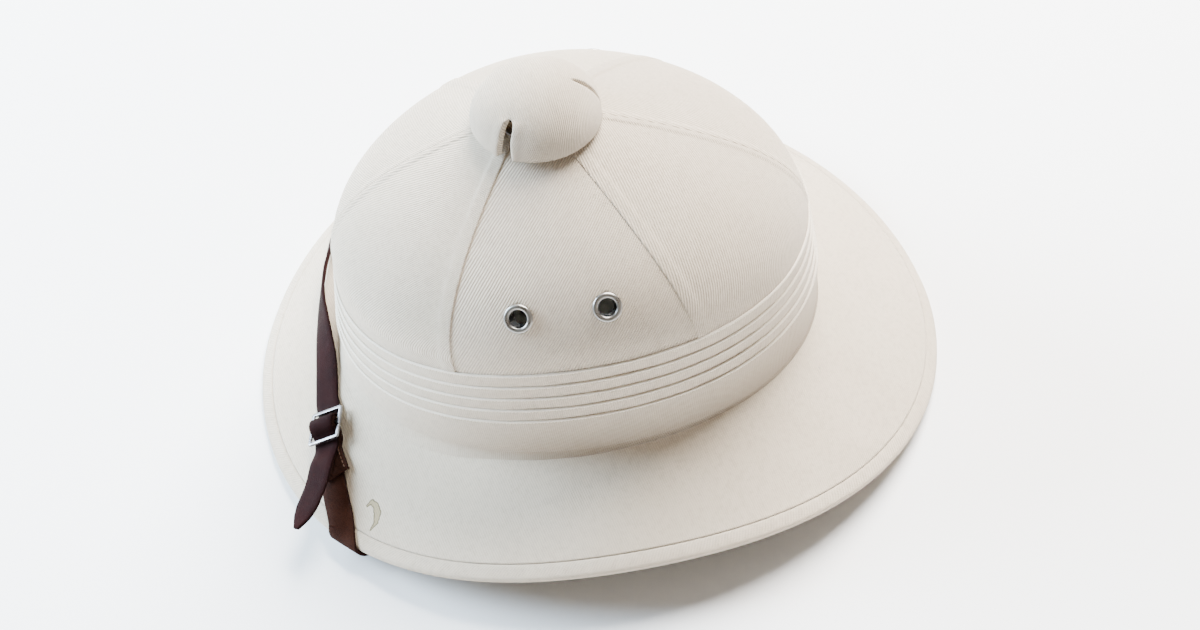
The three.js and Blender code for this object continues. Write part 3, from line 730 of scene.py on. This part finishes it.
BACK_FILLET, FRONT_FILLET = 0.9, 6.5


def foot_fillet(heading):
    """The size of the soft fold at the band's foot: wide at the front and crisp at the back."""
    return lerp(BACK_FILLET, FRONT_FILLET, (1 + cos(heading)) ** 2 / 4)


FOLD_ROLL, FOLD_BELOW = 0.62, 0.35
LAYER_LEAN, LAYER_LAP = 0.04, 2
REAR_ROWS = 2


def band_layer(index, material):
    """A layer of the band: up its face, over its folded top edge and down its back."""
    name, top, reach = BAND_LAYERS[index]
    base = index == len(BAND_LAYERS) - 1
    foot = GAP if base else BAND_LAYERS[index + 1][1] - LAYER_LAP
    lean = 0.0 if base else LAYER_LEAN

    def section(heading):
        slack = uneven(at(heading, 100, 40 + 9 * index), BAND_SWELLS)
        face = []
        if base:
            fillet = foot_fillet(heading)
            for turn in (82, 66, 50, 34, 18, 4):
                outwards, up = fillet * (1 - cos(radians(turn))), fillet * (1 - sin(radians(turn)))
                drop = tan(brim_slope(heading)) * outwards
                face.append(band_point(heading, reach + outwards, 0.25 + up - drop))
            heights = stops(10, max(foot + fillet, 2.0), top - 2.2)
        else:
            heights = stops(4, foot, top - 2.0)
        for height in heights:
            belly = sin(pi * (height - foot) / (top - foot)) * (slack + 0.12)
            back = lean * (top - height) / (top - foot)
            face.append(band_point(heading, reach - back + belly, height))
        centre = top - FOLD_ROLL - FOLD_BELOW + ripple(heading, FOLD_RIPPLES, index)
        for turn in (10, 50, 90, 130, 170):
            across, up = (FOLD_ROLL + 0.05) * cos(radians(turn)), FOLD_ROLL * sin(radians(turn))
            face.append(band_point(heading, reach - FOLD_ROLL + across, centre + up))
        rear = [band_point(heading, reach - CLOTH - 0.15, top - 2.2),
                band_point(heading, reach - lean - CLOTH, foot if not base else 1.0)]
        return face + rear

    last = len(section(0.0)) - REAR_ROWS - 1

    def weave(heading, row):
        return heading * BAND_MEAN_RADIUS, min(row, last) * (top - foot) / last

    finish_piece(swept(section, BAND_STEPS, weave), name + "_cloth", material, [name])


CORD_RADIUS, CORD_TWIST, CORD_LAY, CORD_SIDES, CORD_SUNK = 0.66, 0.15, 3.3, 8, 0.5


def fold_cord(index, material):
    """The fine whipped edge along the top fold of a layer: two threads laid round each other."""
    name, top, reach = BAND_LAYERS[index]
    turns = round(2 * pi * BAND_MEAN_RADIUS / CORD_LAY)

    def section(heading):
        centre = top - CORD_SUNK + ripple(heading, FOLD_RIPPLES, index)
        fuzz = uneven(at(heading, BAND_MEAN_RADIUS, index * 9), CORD_SWELLS)
        around = []
        for side in range(CORD_SIDES):
            angle = 2 * pi * side / CORD_SIDES
            size = CORD_RADIUS + CORD_TWIST * cos(2 * (angle - heading * turns)) + fuzz
            across, up = size * cos(angle), size * sin(angle)
            around.append(band_point(heading, reach - CORD_SUNK + across, centre + up))
        return around

    def weave(heading, row):
        return heading * BAND_MEAN_RADIUS, row * CORD_ROW

    finish_piece(swept(section, CORD_STEPS, weave), name + "_fold_edge", material, [])


# ---------------------------------------------------------------- ventilator cap and eyelets

CAP_SLITS = (  # heading, width at the rim, width higher up and the climb of the slit's top
    (radians(59), 5.0, 3.4, radians(43)),
    (radians(183), 0.5, 1.5, radians(54)),
    (radians(300), 4.4, 3.0, radians(42)),
)
CAP_BELLY, CAP_CLOTH, CAP_MEAN_RADIUS = 1.2, 0.9, 26
CAP_EDGE = [0.0, 0.003, 0.008, 0.015, 0.024, 0.036, 0.05, 0.07]
SLIT_LIFT, SLIT_CURL, SLIT_ROUND = 0.7, 2.2, 0.62


def slit_width(slit, climb):
    """How wide a slit of the cap stands open: nearly even, with a round top."""
    _, rim, higher, top = CAP_SLITS[slit]
    rounded = max(0.0, climb / top - SLIT_ROUND) / (1 - SLIT_ROUND)
    return lerp(rim, higher, ease(0.0, 0.6 * top, climb)) * sqrt(max(0.0, 1 - rounded * rounded))


def cap_lobe(index, material):
    """One lobe of the cap, from slit to slit, with its cloth turned in along the slits and the rim."""
    low = CAP_SLITS[index][0]
    high = CAP_SLITS[(index + 1) % 3][0] + (2 * pi if index == 2 else 0)
    columns = close_at_edges(CAP_EDGE, 44, 0.09)
    climbs = [-0.07, -0.05, -0.02] + stops(60, 0.0, pi / 2 - 0.002)

    def place(part, climb):
        up = max(climb, 0.0)
        fullness = sin(pi * part) ** 0.7 * (1 - ease(radians(12), radians(66), up))
        radius = (CAP_RADIUS - 1.0 + CAP_BELLY * fullness) * cos(up)
        height = CAP_RIM - 0.4 + (CAP_HEIGHT + 0.1) * sin(up) + 0.5 * fullness
        if climb < 0:
            radius += climb * 22
            height += climb * 5 - 0.2
        slit = index if part < 0.5 else (index + 1) % 3
        wide = slit_width(slit, up) / 2
        away = min(part, 1 - part) * (high - low) * max(radius, 0.5)
        side = 1 if part < 0.5 else -1
        heading = lerp(low, high, part) + side * wide * (1 - ease(0.0, 10.0, away)) / max(radius, 8.0)
        drawn = min(1.0, wide / 1.3)
        curl = (1 - ease(0.0, 0.5 + drawn, away)) ** 2 * drawn
        proud = SLIT_LIFT * (1 - ease(1.5, 8.0, away)) * drawn - SLIT_CURL * curl
        radius += proud * cos(up)
        height += proud * sin(up)
        return at(heading, radius, height, CAP_FORWARD)

    def weave(part, climb):
        reach = (pi / 2 - climb) * CAP_MEAN_RADIUS
        heading = lerp(low, high, part)
        return reach * cos(heading), reach * sin(heading)

    bm = cloth_grid(columns, climbs, place, weave)
    nodes = ["vent_cap"] if index == 0 else []
    thicken(finish_piece(bm, "cap_lobe_%d" % (index + 1), material, nodes), CAP_CLOTH)


RING_STEPS = 64


def spun(profile):
    """A closed profile of (radius, height) turned about z."""
    bm = bmesh.new()
    verts = [bm.verts.new((radius, 0, height)) for radius, height in profile]
    for first, second in zip(verts, verts[1:] + verts[:1]):
        bm.edges.new((first, second))
    bmesh.ops.spin(bm, geom=bm.verts[:] + bm.edges[:], cent=(0, 0, 0), axis=(0, 0, 1),
                   angle=2 * pi, steps=RING_STEPS, use_merge=True)
    bmesh.ops.remove_doubles(bm, verts=bm.verts, dist=RING_JOINED_WITHIN)
    bmesh.ops.recalc_face_normals(bm, faces=bm.faces)
    return bm


EYELET_PROUD, EYELET_ROLL, WASHER_DEPTH, WASHER = 0.75, 0.95, 1.9, 0.5


def eyelet(name, heading, rise, materials):
    """A rolled ring with its barrel through the wall and a washer inside."""
    inside = -(CLOTH + GAP + CROWN_PITH + WASHER_DEPTH)
    roll, centre = (EYELET_RADIUS - EYELET_HOLE) / 2, (EYELET_RADIUS + EYELET_HOLE) / 2
    turns = [radians(turn) for turn in range(-30, 200, 20)]
    profile = [(centre + roll * cos(turn), EYELET_PROUD + EYELET_ROLL * sin(turn)) for turn in turns]
    profile += [(EYELET_HOLE, inside), (EYELET_HOLE + 0.3, inside - WASHER)]
    profile += [(EYELET_RADIUS - 0.6, inside - WASHER), (EYELET_RADIUS - 0.4, inside)]
    profile += [(EYELET_HOLE + 0.6, inside + 0.1), (EYELET_HOLE + 0.6, 0.3)]
    bm = spun(profile)
    for face in bm.faces:
        middle = face.calc_center_median()
        barrel = middle.z < 0.35 and hypot(middle.x, middle.y) < EYELET_HOLE + 0.5
        face.material_index = 1 if barrel else 0
    bmesh.ops.transform(bm, matrix=eyelet_axes(heading, rise), verts=bm.verts)
    piece = finish_piece(bm, name + "_ring", materials[0], [name])
    piece.data.materials.append(materials[1])


# ---------------------------------------------------------------- straps

STRAP_CLEARANCE, UNDER_BRIM_CLEARANCE = 0.35, 1.9
STRAP_CURL, STRAP_CURL_LENGTH = 0.05, 14
EDGE_CROSSING_ANGLE = radians(46)
BUCKLE_LENGTH, BUCKLE_WIDTH, BUCKLE_WIRE = 18.4, 17.2, 1.6
BUCKLE_TILT, BUCKLE_TURN = radians(13.5), radians(-4)
BUCKLE_FLATNESS, BUCKLE_CORNER, BUCKLE_ROUNDING = 0.8, 1.3, 0.32
BUCKLE_X, BUCKLE_Y, BUCKLE_LIFT = 51.8, -121.4, 5.5
FOLD_RADIUS = 2.0
STRAP_STEPS = 7  # between two stations
STITCH_LENGTH, STITCH_STEP, STITCH_ROW, STITCH_COUNT = 1.9, 2.35, 4.7, 8
STITCH_HALF_WIDTH, STITCH_HALF_HEIGHT = 0.34, 0.26

SIDE_RUN = ((98, -114.6), (86, -116.9), (74, -118.9), (64, -120.3))
FRONT_RUN = (  # x, y and how far the strap is turned up on its outer edge, in degrees
    (-98, -114.6, 0), (-86, -118, 12), (-66, -122.5, 36), (-42, -125.4, 48), (-25, -125.8, 42),
    (-12, -124.8, 30), (0, -123.7, 17), (12, -122.5, 5), (25, -121.9, 0), (36, -121.5, 0),
)
BUCKLE_RUN = (  # along the buckle and above its middle bar
    (-7.6, -4), (-5.5, -3.5), (-4.4, -1.5), (-3.9, 0.4), (-2.75, 2.6), (0, 3.8),
    (2.6, 3), (4.6, 0.9), (6.6, -0.35), (9, -0.65), (12.5, -0.2),
)
FREE_TAIL = (  # x, y, z and tip in degrees
    (72.5, -122.6, 23.9, 33), (83, -124.7, 23.1, 39), (93.5, -128.3, 22.2, 43),
    (99.5, -130.8, 21.5, 43), (105, -133.5, 20.8, 42),
)
TAIL_TIP = (1.0, 0.74, 0.2)  # widths of the last stations, as parts of the strap's
RISE_RUN = ((7, -4.2), (3, -3.2))  # up to the buckle's bar, and back from it
FOLD_RUN = ((2.1, 1.2), (3.9, -1.1), (6.6, -2.2), (9.5, -2.45))
FOLD_END = ((68, -118.3, 1.9), (77, -115.6, 1.9))  # x, y and how far the fold lies above the brim
SEWN_END = (  # heading and tip in degrees; reach and height as on the band
    (79, -10, 18, 268), (78, -9.6, 6, 262), (75, -8.4, -3.6, 232), (70, -2.4, -8, 205),
)
HIDDEN_RUN = ((98, -52), (104.5, -69), (108.5, -86))
EDGE_ENTER, EDGE_LEAVE, EDGE_STEPS = 42.5, 45.2, 5
STRAP_SECTION = (  # across and above the middle, each as a part of its half, and the inset in mm
    (1, -0.35, 1), (0.5, 0, 1.06), (0, 0, 1.08), (-0.5, 0, 1.06), (-1, 0.35, 1), (-1, 0.1, 0.62),
    (-1, 0, 0), (-1, 0.1, -0.62), (-1, 0.35, -1), (-0.5, 0, -1), (0, 0, -1), (0.5, 0, -1),
    (1, -0.35, -1), (1, -0.1, -0.62), (1, 0, 0), (1, -0.1, 0.62),
)


def brim_top(x, y):
    heading = atan2(x, -y)
    inner, outer = brim_line(heading, 0)[0], brim_line(heading, 1)[0]
    return brim_line(heading, (hypot(x, y) - inner) / (outer - inner))[1]


def tipped(heading, tip):
    return at(heading, sin(tip), cos(tip))


def on_brim(x, y, raised=0.0, tip=0.0):
    heading, turn = atan2(x, -y), radians(tip)
    lift = raised + STRAP_CLEARANCE + (STRAP_WIDTH * sin(turn) + LEATHER * cos(turn)) / 2
    place = Vector((x, y, brim_top(x, y) + lift / cos(brim_slope(heading))))
    return place, tipped(heading, brim_slope(heading) + turn), None


def under_brim(x, y):
    heading = atan2(x, -y)
    drop = (2 * EDGE_HALF + UNDER_BRIM_CLEARANCE + LEATHER / 2) / cos(brim_slope(heading))
    return Vector((x, y, brim_top(x, y) - drop)), tipped(heading, brim_slope(heading) + pi), None


def round_edge():
    """Half a turn about the brim's rolled edge, while the heading drifts."""
    stations = []
    reach = EDGE_HALF + GAP + LEATHER / 2
    slant = STRAP_WIDTH / sin(EDGE_CROSSING_ANGLE)
    for part in stops(EDGE_STEPS):
        heading = radians(lerp(EDGE_ENTER, EDGE_LEAVE, part))
        tip = brim_slope(heading) + part * pi
        place = at(heading, edge_radius(heading) - EDGE_HALF + reach * sin(tip),
                   edge_height(heading) + reach * cos(tip))
        line = [at(turn, edge_radius(turn), edge_height(turn)) for turn in (heading - 0.05, heading + 0.05)]
        stations.append((place, tipped(heading, tip), (line[1] - line[0]).normalized() * slant))
    return stations


def inside_crown(heading, reach, height, tip):
    turn = radians(heading)
    return band_point(turn, reach, height), tipped(turn, radians(tip)), None


def hidden_run():
    """From the sewn end inside the crown, under the brim and round its edge."""
    inside = [inside_crown(*spot) for spot in SEWN_END]
    under = [under_brim(*spot) for spot in HIDDEN_RUN]
    return inside + under + list(reversed(round_edge()))


def flipped(station):
    def flip(vector):
        return vector and Vector((-vector.x, vector.y, vector.z))
    return tuple(flip(vector) for vector in station)


def buckle_axes():
    """x along the strap, y across it and z off the brim, at the buckle's middle bar."""
    heading = atan2(BUCKLE_X, -BUCKLE_Y)
    slope = brim_slope(heading)
    normal = tipped(heading, slope)
    along = (Vector((1, 0, 0)) - normal * normal.x).normalized()
    height = brim_top(BUCKLE_X, BUCKLE_Y) + BUCKLE_LIFT / cos(slope)
    axes = Matrix((along, normal.cross(along), normal)).transposed().to_4x4()
    turn = Matrix.Rotation(BUCKLE_TURN, 4, "Z")
    return Matrix.Translation((BUCKLE_X, BUCKLE_Y, height)) @ axes @ turn


def in_buckle(along, above):
    axes = buckle_axes()
    turn = axes.to_3x3()
    return axes @ Vector((along, 0, above)), turn @ Vector((0, 0, 1)), turn @ Vector((0, STRAP_WIDTH, 0))


def curve_place(points, span, part):
    """A centripetal Catmull-Rom curve through the points."""
    p1, p2 = points[span], points[span + 1]
    p0 = points[span - 1] if span > 0 else p1 * 2 - p2
    p3 = points[span + 2] if span + 2 < len(points) else p2 * 2 - p1
    d0, d1, d2 = [max(1e-3, (b - a).length) ** 0.5 for a, b in ((p0, p1), (p1, p2), (p2, p3))]
    t1 = ((p1 - p0) / d0 - (p2 - p0) / (d0 + d1) + (p2 - p1) / d1) * d1
    t2 = ((p2 - p1) / d1 - (p3 - p1) / (d1 + d2) + (p3 - p2) / d2) * d1
    bend = (p2 - p1) * 3 - t1 * 2 - t2
    return p1 + t1 * part + bend * part ** 2 + ((p1 - p2) * 2 + t1 + t2) * part ** 3


def strap_frames(stations, widths=()):
    """Even frames along a strap: its middle, its unit side, its face, its width and its length so far."""
    places = [place for place, _, _ in stations]
    parts = [1.0] * (len(places) - len(widths)) + list(widths)
    sides = []
    for index, (_, face, side) in enumerate(stations):
        ahead, behind = places[min(index + 1, len(places) - 1)], places[max(index - 1, 0)]
        across = side or (ahead - behind).normalized().cross(face).normalized() * STRAP_WIDTH * parts[index]
        if sides and across.dot(sides[-1]) < 0:
            across = -across
        sides.append(across)
    frames = []
    length = 0.0
    for index in range(STRAP_STEPS * (len(places) - 1) + 1):
        span = min(index // STRAP_STEPS, len(places) - 2)
        part = index / STRAP_STEPS - span
        middle = curve_place(places, span, part)
        side = curve_place(sides, span, part)
        if frames:
            length += (middle - frames[-1][0]).length
        frames.append([middle, side.normalized(), None, side.length, length])
    for index, entry in enumerate(frames):
        tangent = frames[min(index + 1, len(frames) - 1)][0] - frames[max(index - 1, 0)][0]
        entry[2] = entry[1].cross(tangent).normalized()
    return frames


def strap(name, frames, materials, nodes):
    """A leather strap with softly rounded edges, whose second material waits for its raw side."""
    count = len(STRAP_SECTION)

    def place(step, row):
        middle, side, face, width, length = frames[step]
        half, inset, above = STRAP_SECTION[row % count]
        curl = STRAP_CURL * noise.noise(Vector((length / STRAP_CURL_LENGTH, row % count * 0.1, 3)))
        across = (half * STRAP_WIDTH / 2 + inset) * width / STRAP_WIDTH
        return middle + side * across + face * (above * LEATHER / 2 + curl)

    def weave(step, row):
        half, inset, _ = STRAP_SECTION[row % count]
        return frames[step][4], half * STRAP_WIDTH / 2 + inset

    bm = cloth_grid(list(range(len(frames))), list(range(count + 1)), place, weave)
    bmesh.ops.holes_fill(bm, edges=[edge for edge in bm.edges if edge.is_boundary])
    bmesh.ops.recalc_face_normals(bm, faces=bm.faces)
    piece = finish_piece(bm, name, materials[0], nodes)
    piece.data.materials.append(materials[1])
    return piece


def frame_near(frames, length):
    return min(frames, key=lambda entry: abs(entry[4] - length))


def raw_side(piece, frames):
    """Gives raw leather to the strap's flesh side and its cut ends."""
    lengths = piece.data.uv_layers["weave"].data
    for polygon in piece.data.polygons:
        length = sum(lengths[loop].uv.x for loop in polygon.loop_indices) / polygon.loop_total * MILLIMETRES
        face = frame_near(frames, length)[2]
        if polygon.normal.dot(face) < -0.75:
            polygon.material_index = 1


def chin_strap_frames():
    """From the right side across the front, through the buckle and out to the free tip."""
    front = [on_brim(x, y, 0.0, tip) for x, y, tip in FRONT_RUN]
    tail = [(Vector((x, y, z)), tipped(atan2(x, -y), radians(tip)), None) for x, y, z, tip in FREE_TAIL]
    stations = [flipped(station) for station in hidden_run()] + front
    return strap_frames(stations + [in_buckle(*spot) for spot in BUCKLE_RUN] + tail, TAIL_TIP)


def buckle_strap_frames():
    """From the left side up to the buckle, round its bar and back over itself."""
    turns = [radians(angle) for angle in (-70, -110, -150, 170, 130, 90)]
    fold = [(FOLD_RADIUS * cos(turn), FOLD_RADIUS * sin(turn)) for turn in turns]
    run = [in_buckle(*spot) for spot in (*RISE_RUN, *fold, *FOLD_RUN)]
    side = [on_brim(x, y) for x, y in SIDE_RUN]
    return strap_frames(hidden_run() + side + run + [on_brim(*spot) for spot in FOLD_END])


def buckle(material):
    """The flat wire slide: an outer frame and its middle bar, with every edge rounded."""
    long, wide, bar = BUCKLE_LENGTH / 2, BUCKLE_WIDTH / 2, BUCKLE_WIRE / 2
    end, side = long - BUCKLE_WIRE, wide - BUCKLE_WIRE
    columns, rows = (-long, -end, -bar, bar, end, long), (-wide, -side, side, wide)
    below = -bar * BUCKLE_FLATNESS
    bm = cloth_grid(columns, rows, lambda x, y: Vector((x, y, below)), lambda x, y: (x, y))
    middles = {face: face.calc_center_median() for face in bm.faces}
    windows = [face for face, middle in middles.items() if abs(middle.y) < 1 and bar < abs(middle.x) < end]
    bmesh.ops.delete(bm, geom=windows, context="FACES")
    outer = [vert for vert in bm.verts if abs(vert.co.x) > end + 0.1 and abs(vert.co.y) > side + 0.1]
    bmesh.ops.bevel(bm, geom=outer, offset=BUCKLE_CORNER, affect="VERTICES", segments=4,
                    profile=0.5, material=-1)
    walls = bmesh.ops.extrude_face_region(bm, geom=bm.faces[:])
    lifted = [item for item in walls["geom"] if isinstance(item, bmesh.types.BMVert)]
    bmesh.ops.translate(bm, vec=(0, 0, BUCKLE_WIRE * BUCKLE_FLATNESS), verts=lifted)
    bmesh.ops.recalc_face_normals(bm, faces=bm.faces)
    sharp = [edge for edge in bm.edges if edge.calc_face_angle(0) > radians(50)]
    bmesh.ops.bevel(bm, geom=sharp, offset=BUCKLE_ROUNDING, affect="EDGES", segments=3,
                    profile=0.5, material=-1)
    tilted = buckle_axes() @ Matrix.Rotation(-BUCKLE_TILT, 4, "Y")
    bmesh.ops.transform(bm, matrix=tilted, verts=bm.verts)
    finish_piece(bm, "slide_buckle", material, ["strap_buckle"])


def stitch(bm, place, along, up):
    """One stitch: a short plump thread, sunk at both ends."""
    side = up.cross(along).normalized()
    halves = (along * STITCH_LENGTH / 2, side * STITCH_HALF_WIDTH, up * STITCH_HALF_HEIGHT)
    matrix = Matrix.Translation(place) @ Matrix(halves).transposed().to_4x4()
    bmesh.ops.create_uvsphere(bm, u_segments=8, v_segments=6, radius=1, matrix=matrix)


def fold_stitches(frames, material):
    """The seam that holds the fold of the lower strap: a row along each edge."""
    bm = bmesh.new()
    for row in (-STITCH_ROW, STITCH_ROW):
        for number in range(STITCH_COUNT):
            distance = frames[-1][4] - STITCH_LENGTH - number * STITCH_STEP
            entry = frame_near(frames, distance)
            middle, side, face, _, length = entry
            along = (middle - frames[frames.index(entry) - 1][0]).normalized()
            place = middle + along * (distance - length) + side * row - face * (LEATHER / 2 + 0.05)
            stitch(bm, place, along, -face)
    finish_piece(bm, "fold_stitches", material, [])


# ---------------------------------------------------------------- stage

FLOOR_TONE, FLOOR_PALE, FLOOR_HALF = (0.93, 0.93, 0.93), (0.95, 0.95, 0.95), 4


def floor():
    """A plain pale sheet under the helmet."""
    shader = Shader("pale_floor", 0.9)
    grain = shader.noise(shader.places(), scale=3.0)
    shader.paint(Base_Color=shader.mix(grain, FLOOR_TONE, FLOOR_PALE))
    bm = bmesh.new()
    bmesh.ops.create_grid(bm, x_segments=2, y_segments=2, size=FLOOR_HALF)
    mesh = bpy.data.meshes.new("floor")
    bm.to_mesh(mesh)
    bm.free()
    mesh.materials.append(shader.material)
    ground = bpy.data.objects.new("floor", mesh)
    bpy.context.scene.collection.objects.link(ground)


def area_light(name, place, height, size, power, colour):
    """A round soft light that looks at the middle of the helmet, at a height."""
    lamp = bpy.data.lights.new(name, "AREA")
    lamp.shape = "DISK"
    lamp.size = size
    lamp.energy = power
    lamp.color = colour
    light = bpy.data.objects.new(name, lamp)
    light.location = place
    ahead = Vector((0, 0, height)) - Vector(place)
    light.rotation_euler = ahead.to_track_quat("-Z", "Y").to_euler()
    bpy.context.scene.collection.objects.link(light)


def surroundings(strength, colour):
    world = bpy.data.worlds.new("studio")
    world.use_nodes = True
    background = world.node_tree.nodes["Background"]
    background.inputs["Color"].default_value = (*colour, 1)
    background.inputs["Strength"].default_value = strength
    bpy.context.scene.world = world


CAMERA_TURN, CAMERA_CLIMB, CAMERA_ROLL = radians(-1.21), radians(50.2), radians(-6.03)
CAMERA_DISTANCE, CAMERA_LENS = 0.8997, 56.0
CAMERA_TARGET = Vector((0, 0.0029, 0.02506))


def camera():
    """A camera that looks down on the helmet's left side, rolled a little."""
    level = cos(CAMERA_CLIMB)
    back = Vector((cos(CAMERA_TURN) * level, -sin(CAMERA_TURN) * level, sin(CAMERA_CLIMB)))
    right = (-back).cross(Vector((0, 0, 1))).normalized()
    up = right.cross(-back)
    rolled_right = right * cos(CAMERA_ROLL) + up * sin(CAMERA_ROLL)
    rolled_up = up * cos(CAMERA_ROLL) - right * sin(CAMERA_ROLL)
    data = bpy.data.cameras.new("camera")
    data.lens = CAMERA_LENS
    data.sensor_width = 36
    eye = bpy.data.objects.new("camera", data)
    turn = Matrix((rolled_right, rolled_up, back)).transposed().to_4x4()
    eye.matrix_world = Matrix.Translation(CAMERA_TARGET + back * CAMERA_DISTANCE) @ turn
    bpy.context.scene.collection.objects.link(eye)
    bpy.context.scene.camera = eye


# ---------------------------------------------------------------- the helmet

camera()
floor()
surroundings(strength=0.38, colour=(1.0, 0.90, 0.80))
area_light("window", (-0.45, -1.5, 0.75), height=0.05, size=1.1, power=165, colour=(0.64, 0.82, 1.0))
area_light("sky", (-0.98, 0.55, 1.38), height=0.1, size=1.3, power=238, colour=(1.0, 0.97, 0.935))
area_light("room", (1.1, 0.9, 0.8), height=0.08, size=1.0, power=2, colour=(1.0, 0.86, 0.74))

crown_twill = twill("crown_twill", angle=radians(52), pitch=TWILL_PITCH, depth=0.75)
for index in range(len(PANELS)):
    crown_panel(index, crown_twill)
helmet_body(lining())
brim_cover(twill("brim_twill", angle=radians(20), pitch=TWILL_PITCH, depth=0.35, marks_and_shade=brim_marks))
brim_binding(twill("binding_twill", angle=radians(45), pitch=1.0, depth=0.4))
band_twill = twill("band_twill", angle=radians(98), pitch=TWILL_PITCH, depth=0.5)
# the band's foot carries painted shade towards the crease
foot_twill = twill("band_foot_twill", angle=radians(98), pitch=TWILL_PITCH, depth=0.5, marks_and_shade=foot_painted_shade)
cord_white = cotton_cord()
for index in range(len(BAND_LAYERS)):
    band_layer(index, foot_twill if BAND_LAYERS[index][0] == "band_base" else band_twill)
    fold_cord(index, cord_white)
cap_twill = twill("cap_twill", angle=radians(104), pitch=0.96, depth=0.85)
for index in range(len(CAP_SLITS)):
    cap_lobe(index, cap_twill)
eyelet_nickel = nickel("eyelet_nickel", bright=(0.30, 0.29, 0.27), dulled=(0.20, 0.19, 0.17))
# near-black barrels: painted shade inside the eyelet holes, with rust patches
dark_barrel = dark_metal("barrel_painted_shade", clean=(0.012, 0.011, 0.010), rusted=(0.022, 0.018, 0.014))
for name, heading, rise in EYELETS:
    eyelet(name, heading, rise, (eyelet_nickel, dark_barrel))
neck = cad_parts["vent_neck"].data
neck.materials.clear()
neck.materials.append(dark_metal("neck_metal", clean=(0.16, 0.13, 0.11), rusted=(0.26, 0.20, 0.15)))

hide = leather("strap_leather", deep=(0.0085, 0.0019, 0.0022), pale=(0.016, 0.0038, 0.0038))
# paler, browner leather for the short strap: partly its own worn tone, partly painted light that lifts it
# where it lies in the tail's shadow
worn_hide_painted_light = leather("worn_leather_painted_light", deep=(0.027, 0.0092, 0.0056), pale=(0.044, 0.0165, 0.0102))
raw_hide = raw_leather()
long_run = chin_strap_frames()
raw_side(strap("long_strap", long_run, (hide, raw_hide), ["chin_strap"]), long_run)
short_run = buckle_strap_frames()
raw_side(strap("short_strap", short_run, (worn_hide_painted_light, raw_hide), ["buckle_strap"]), short_run)
buckle(nickel("buckle_nickel", bright=(0.245, 0.235, 0.24), dulled=(0.15, 0.142, 0.146)))
fold_stitches(short_run, strap_thread())
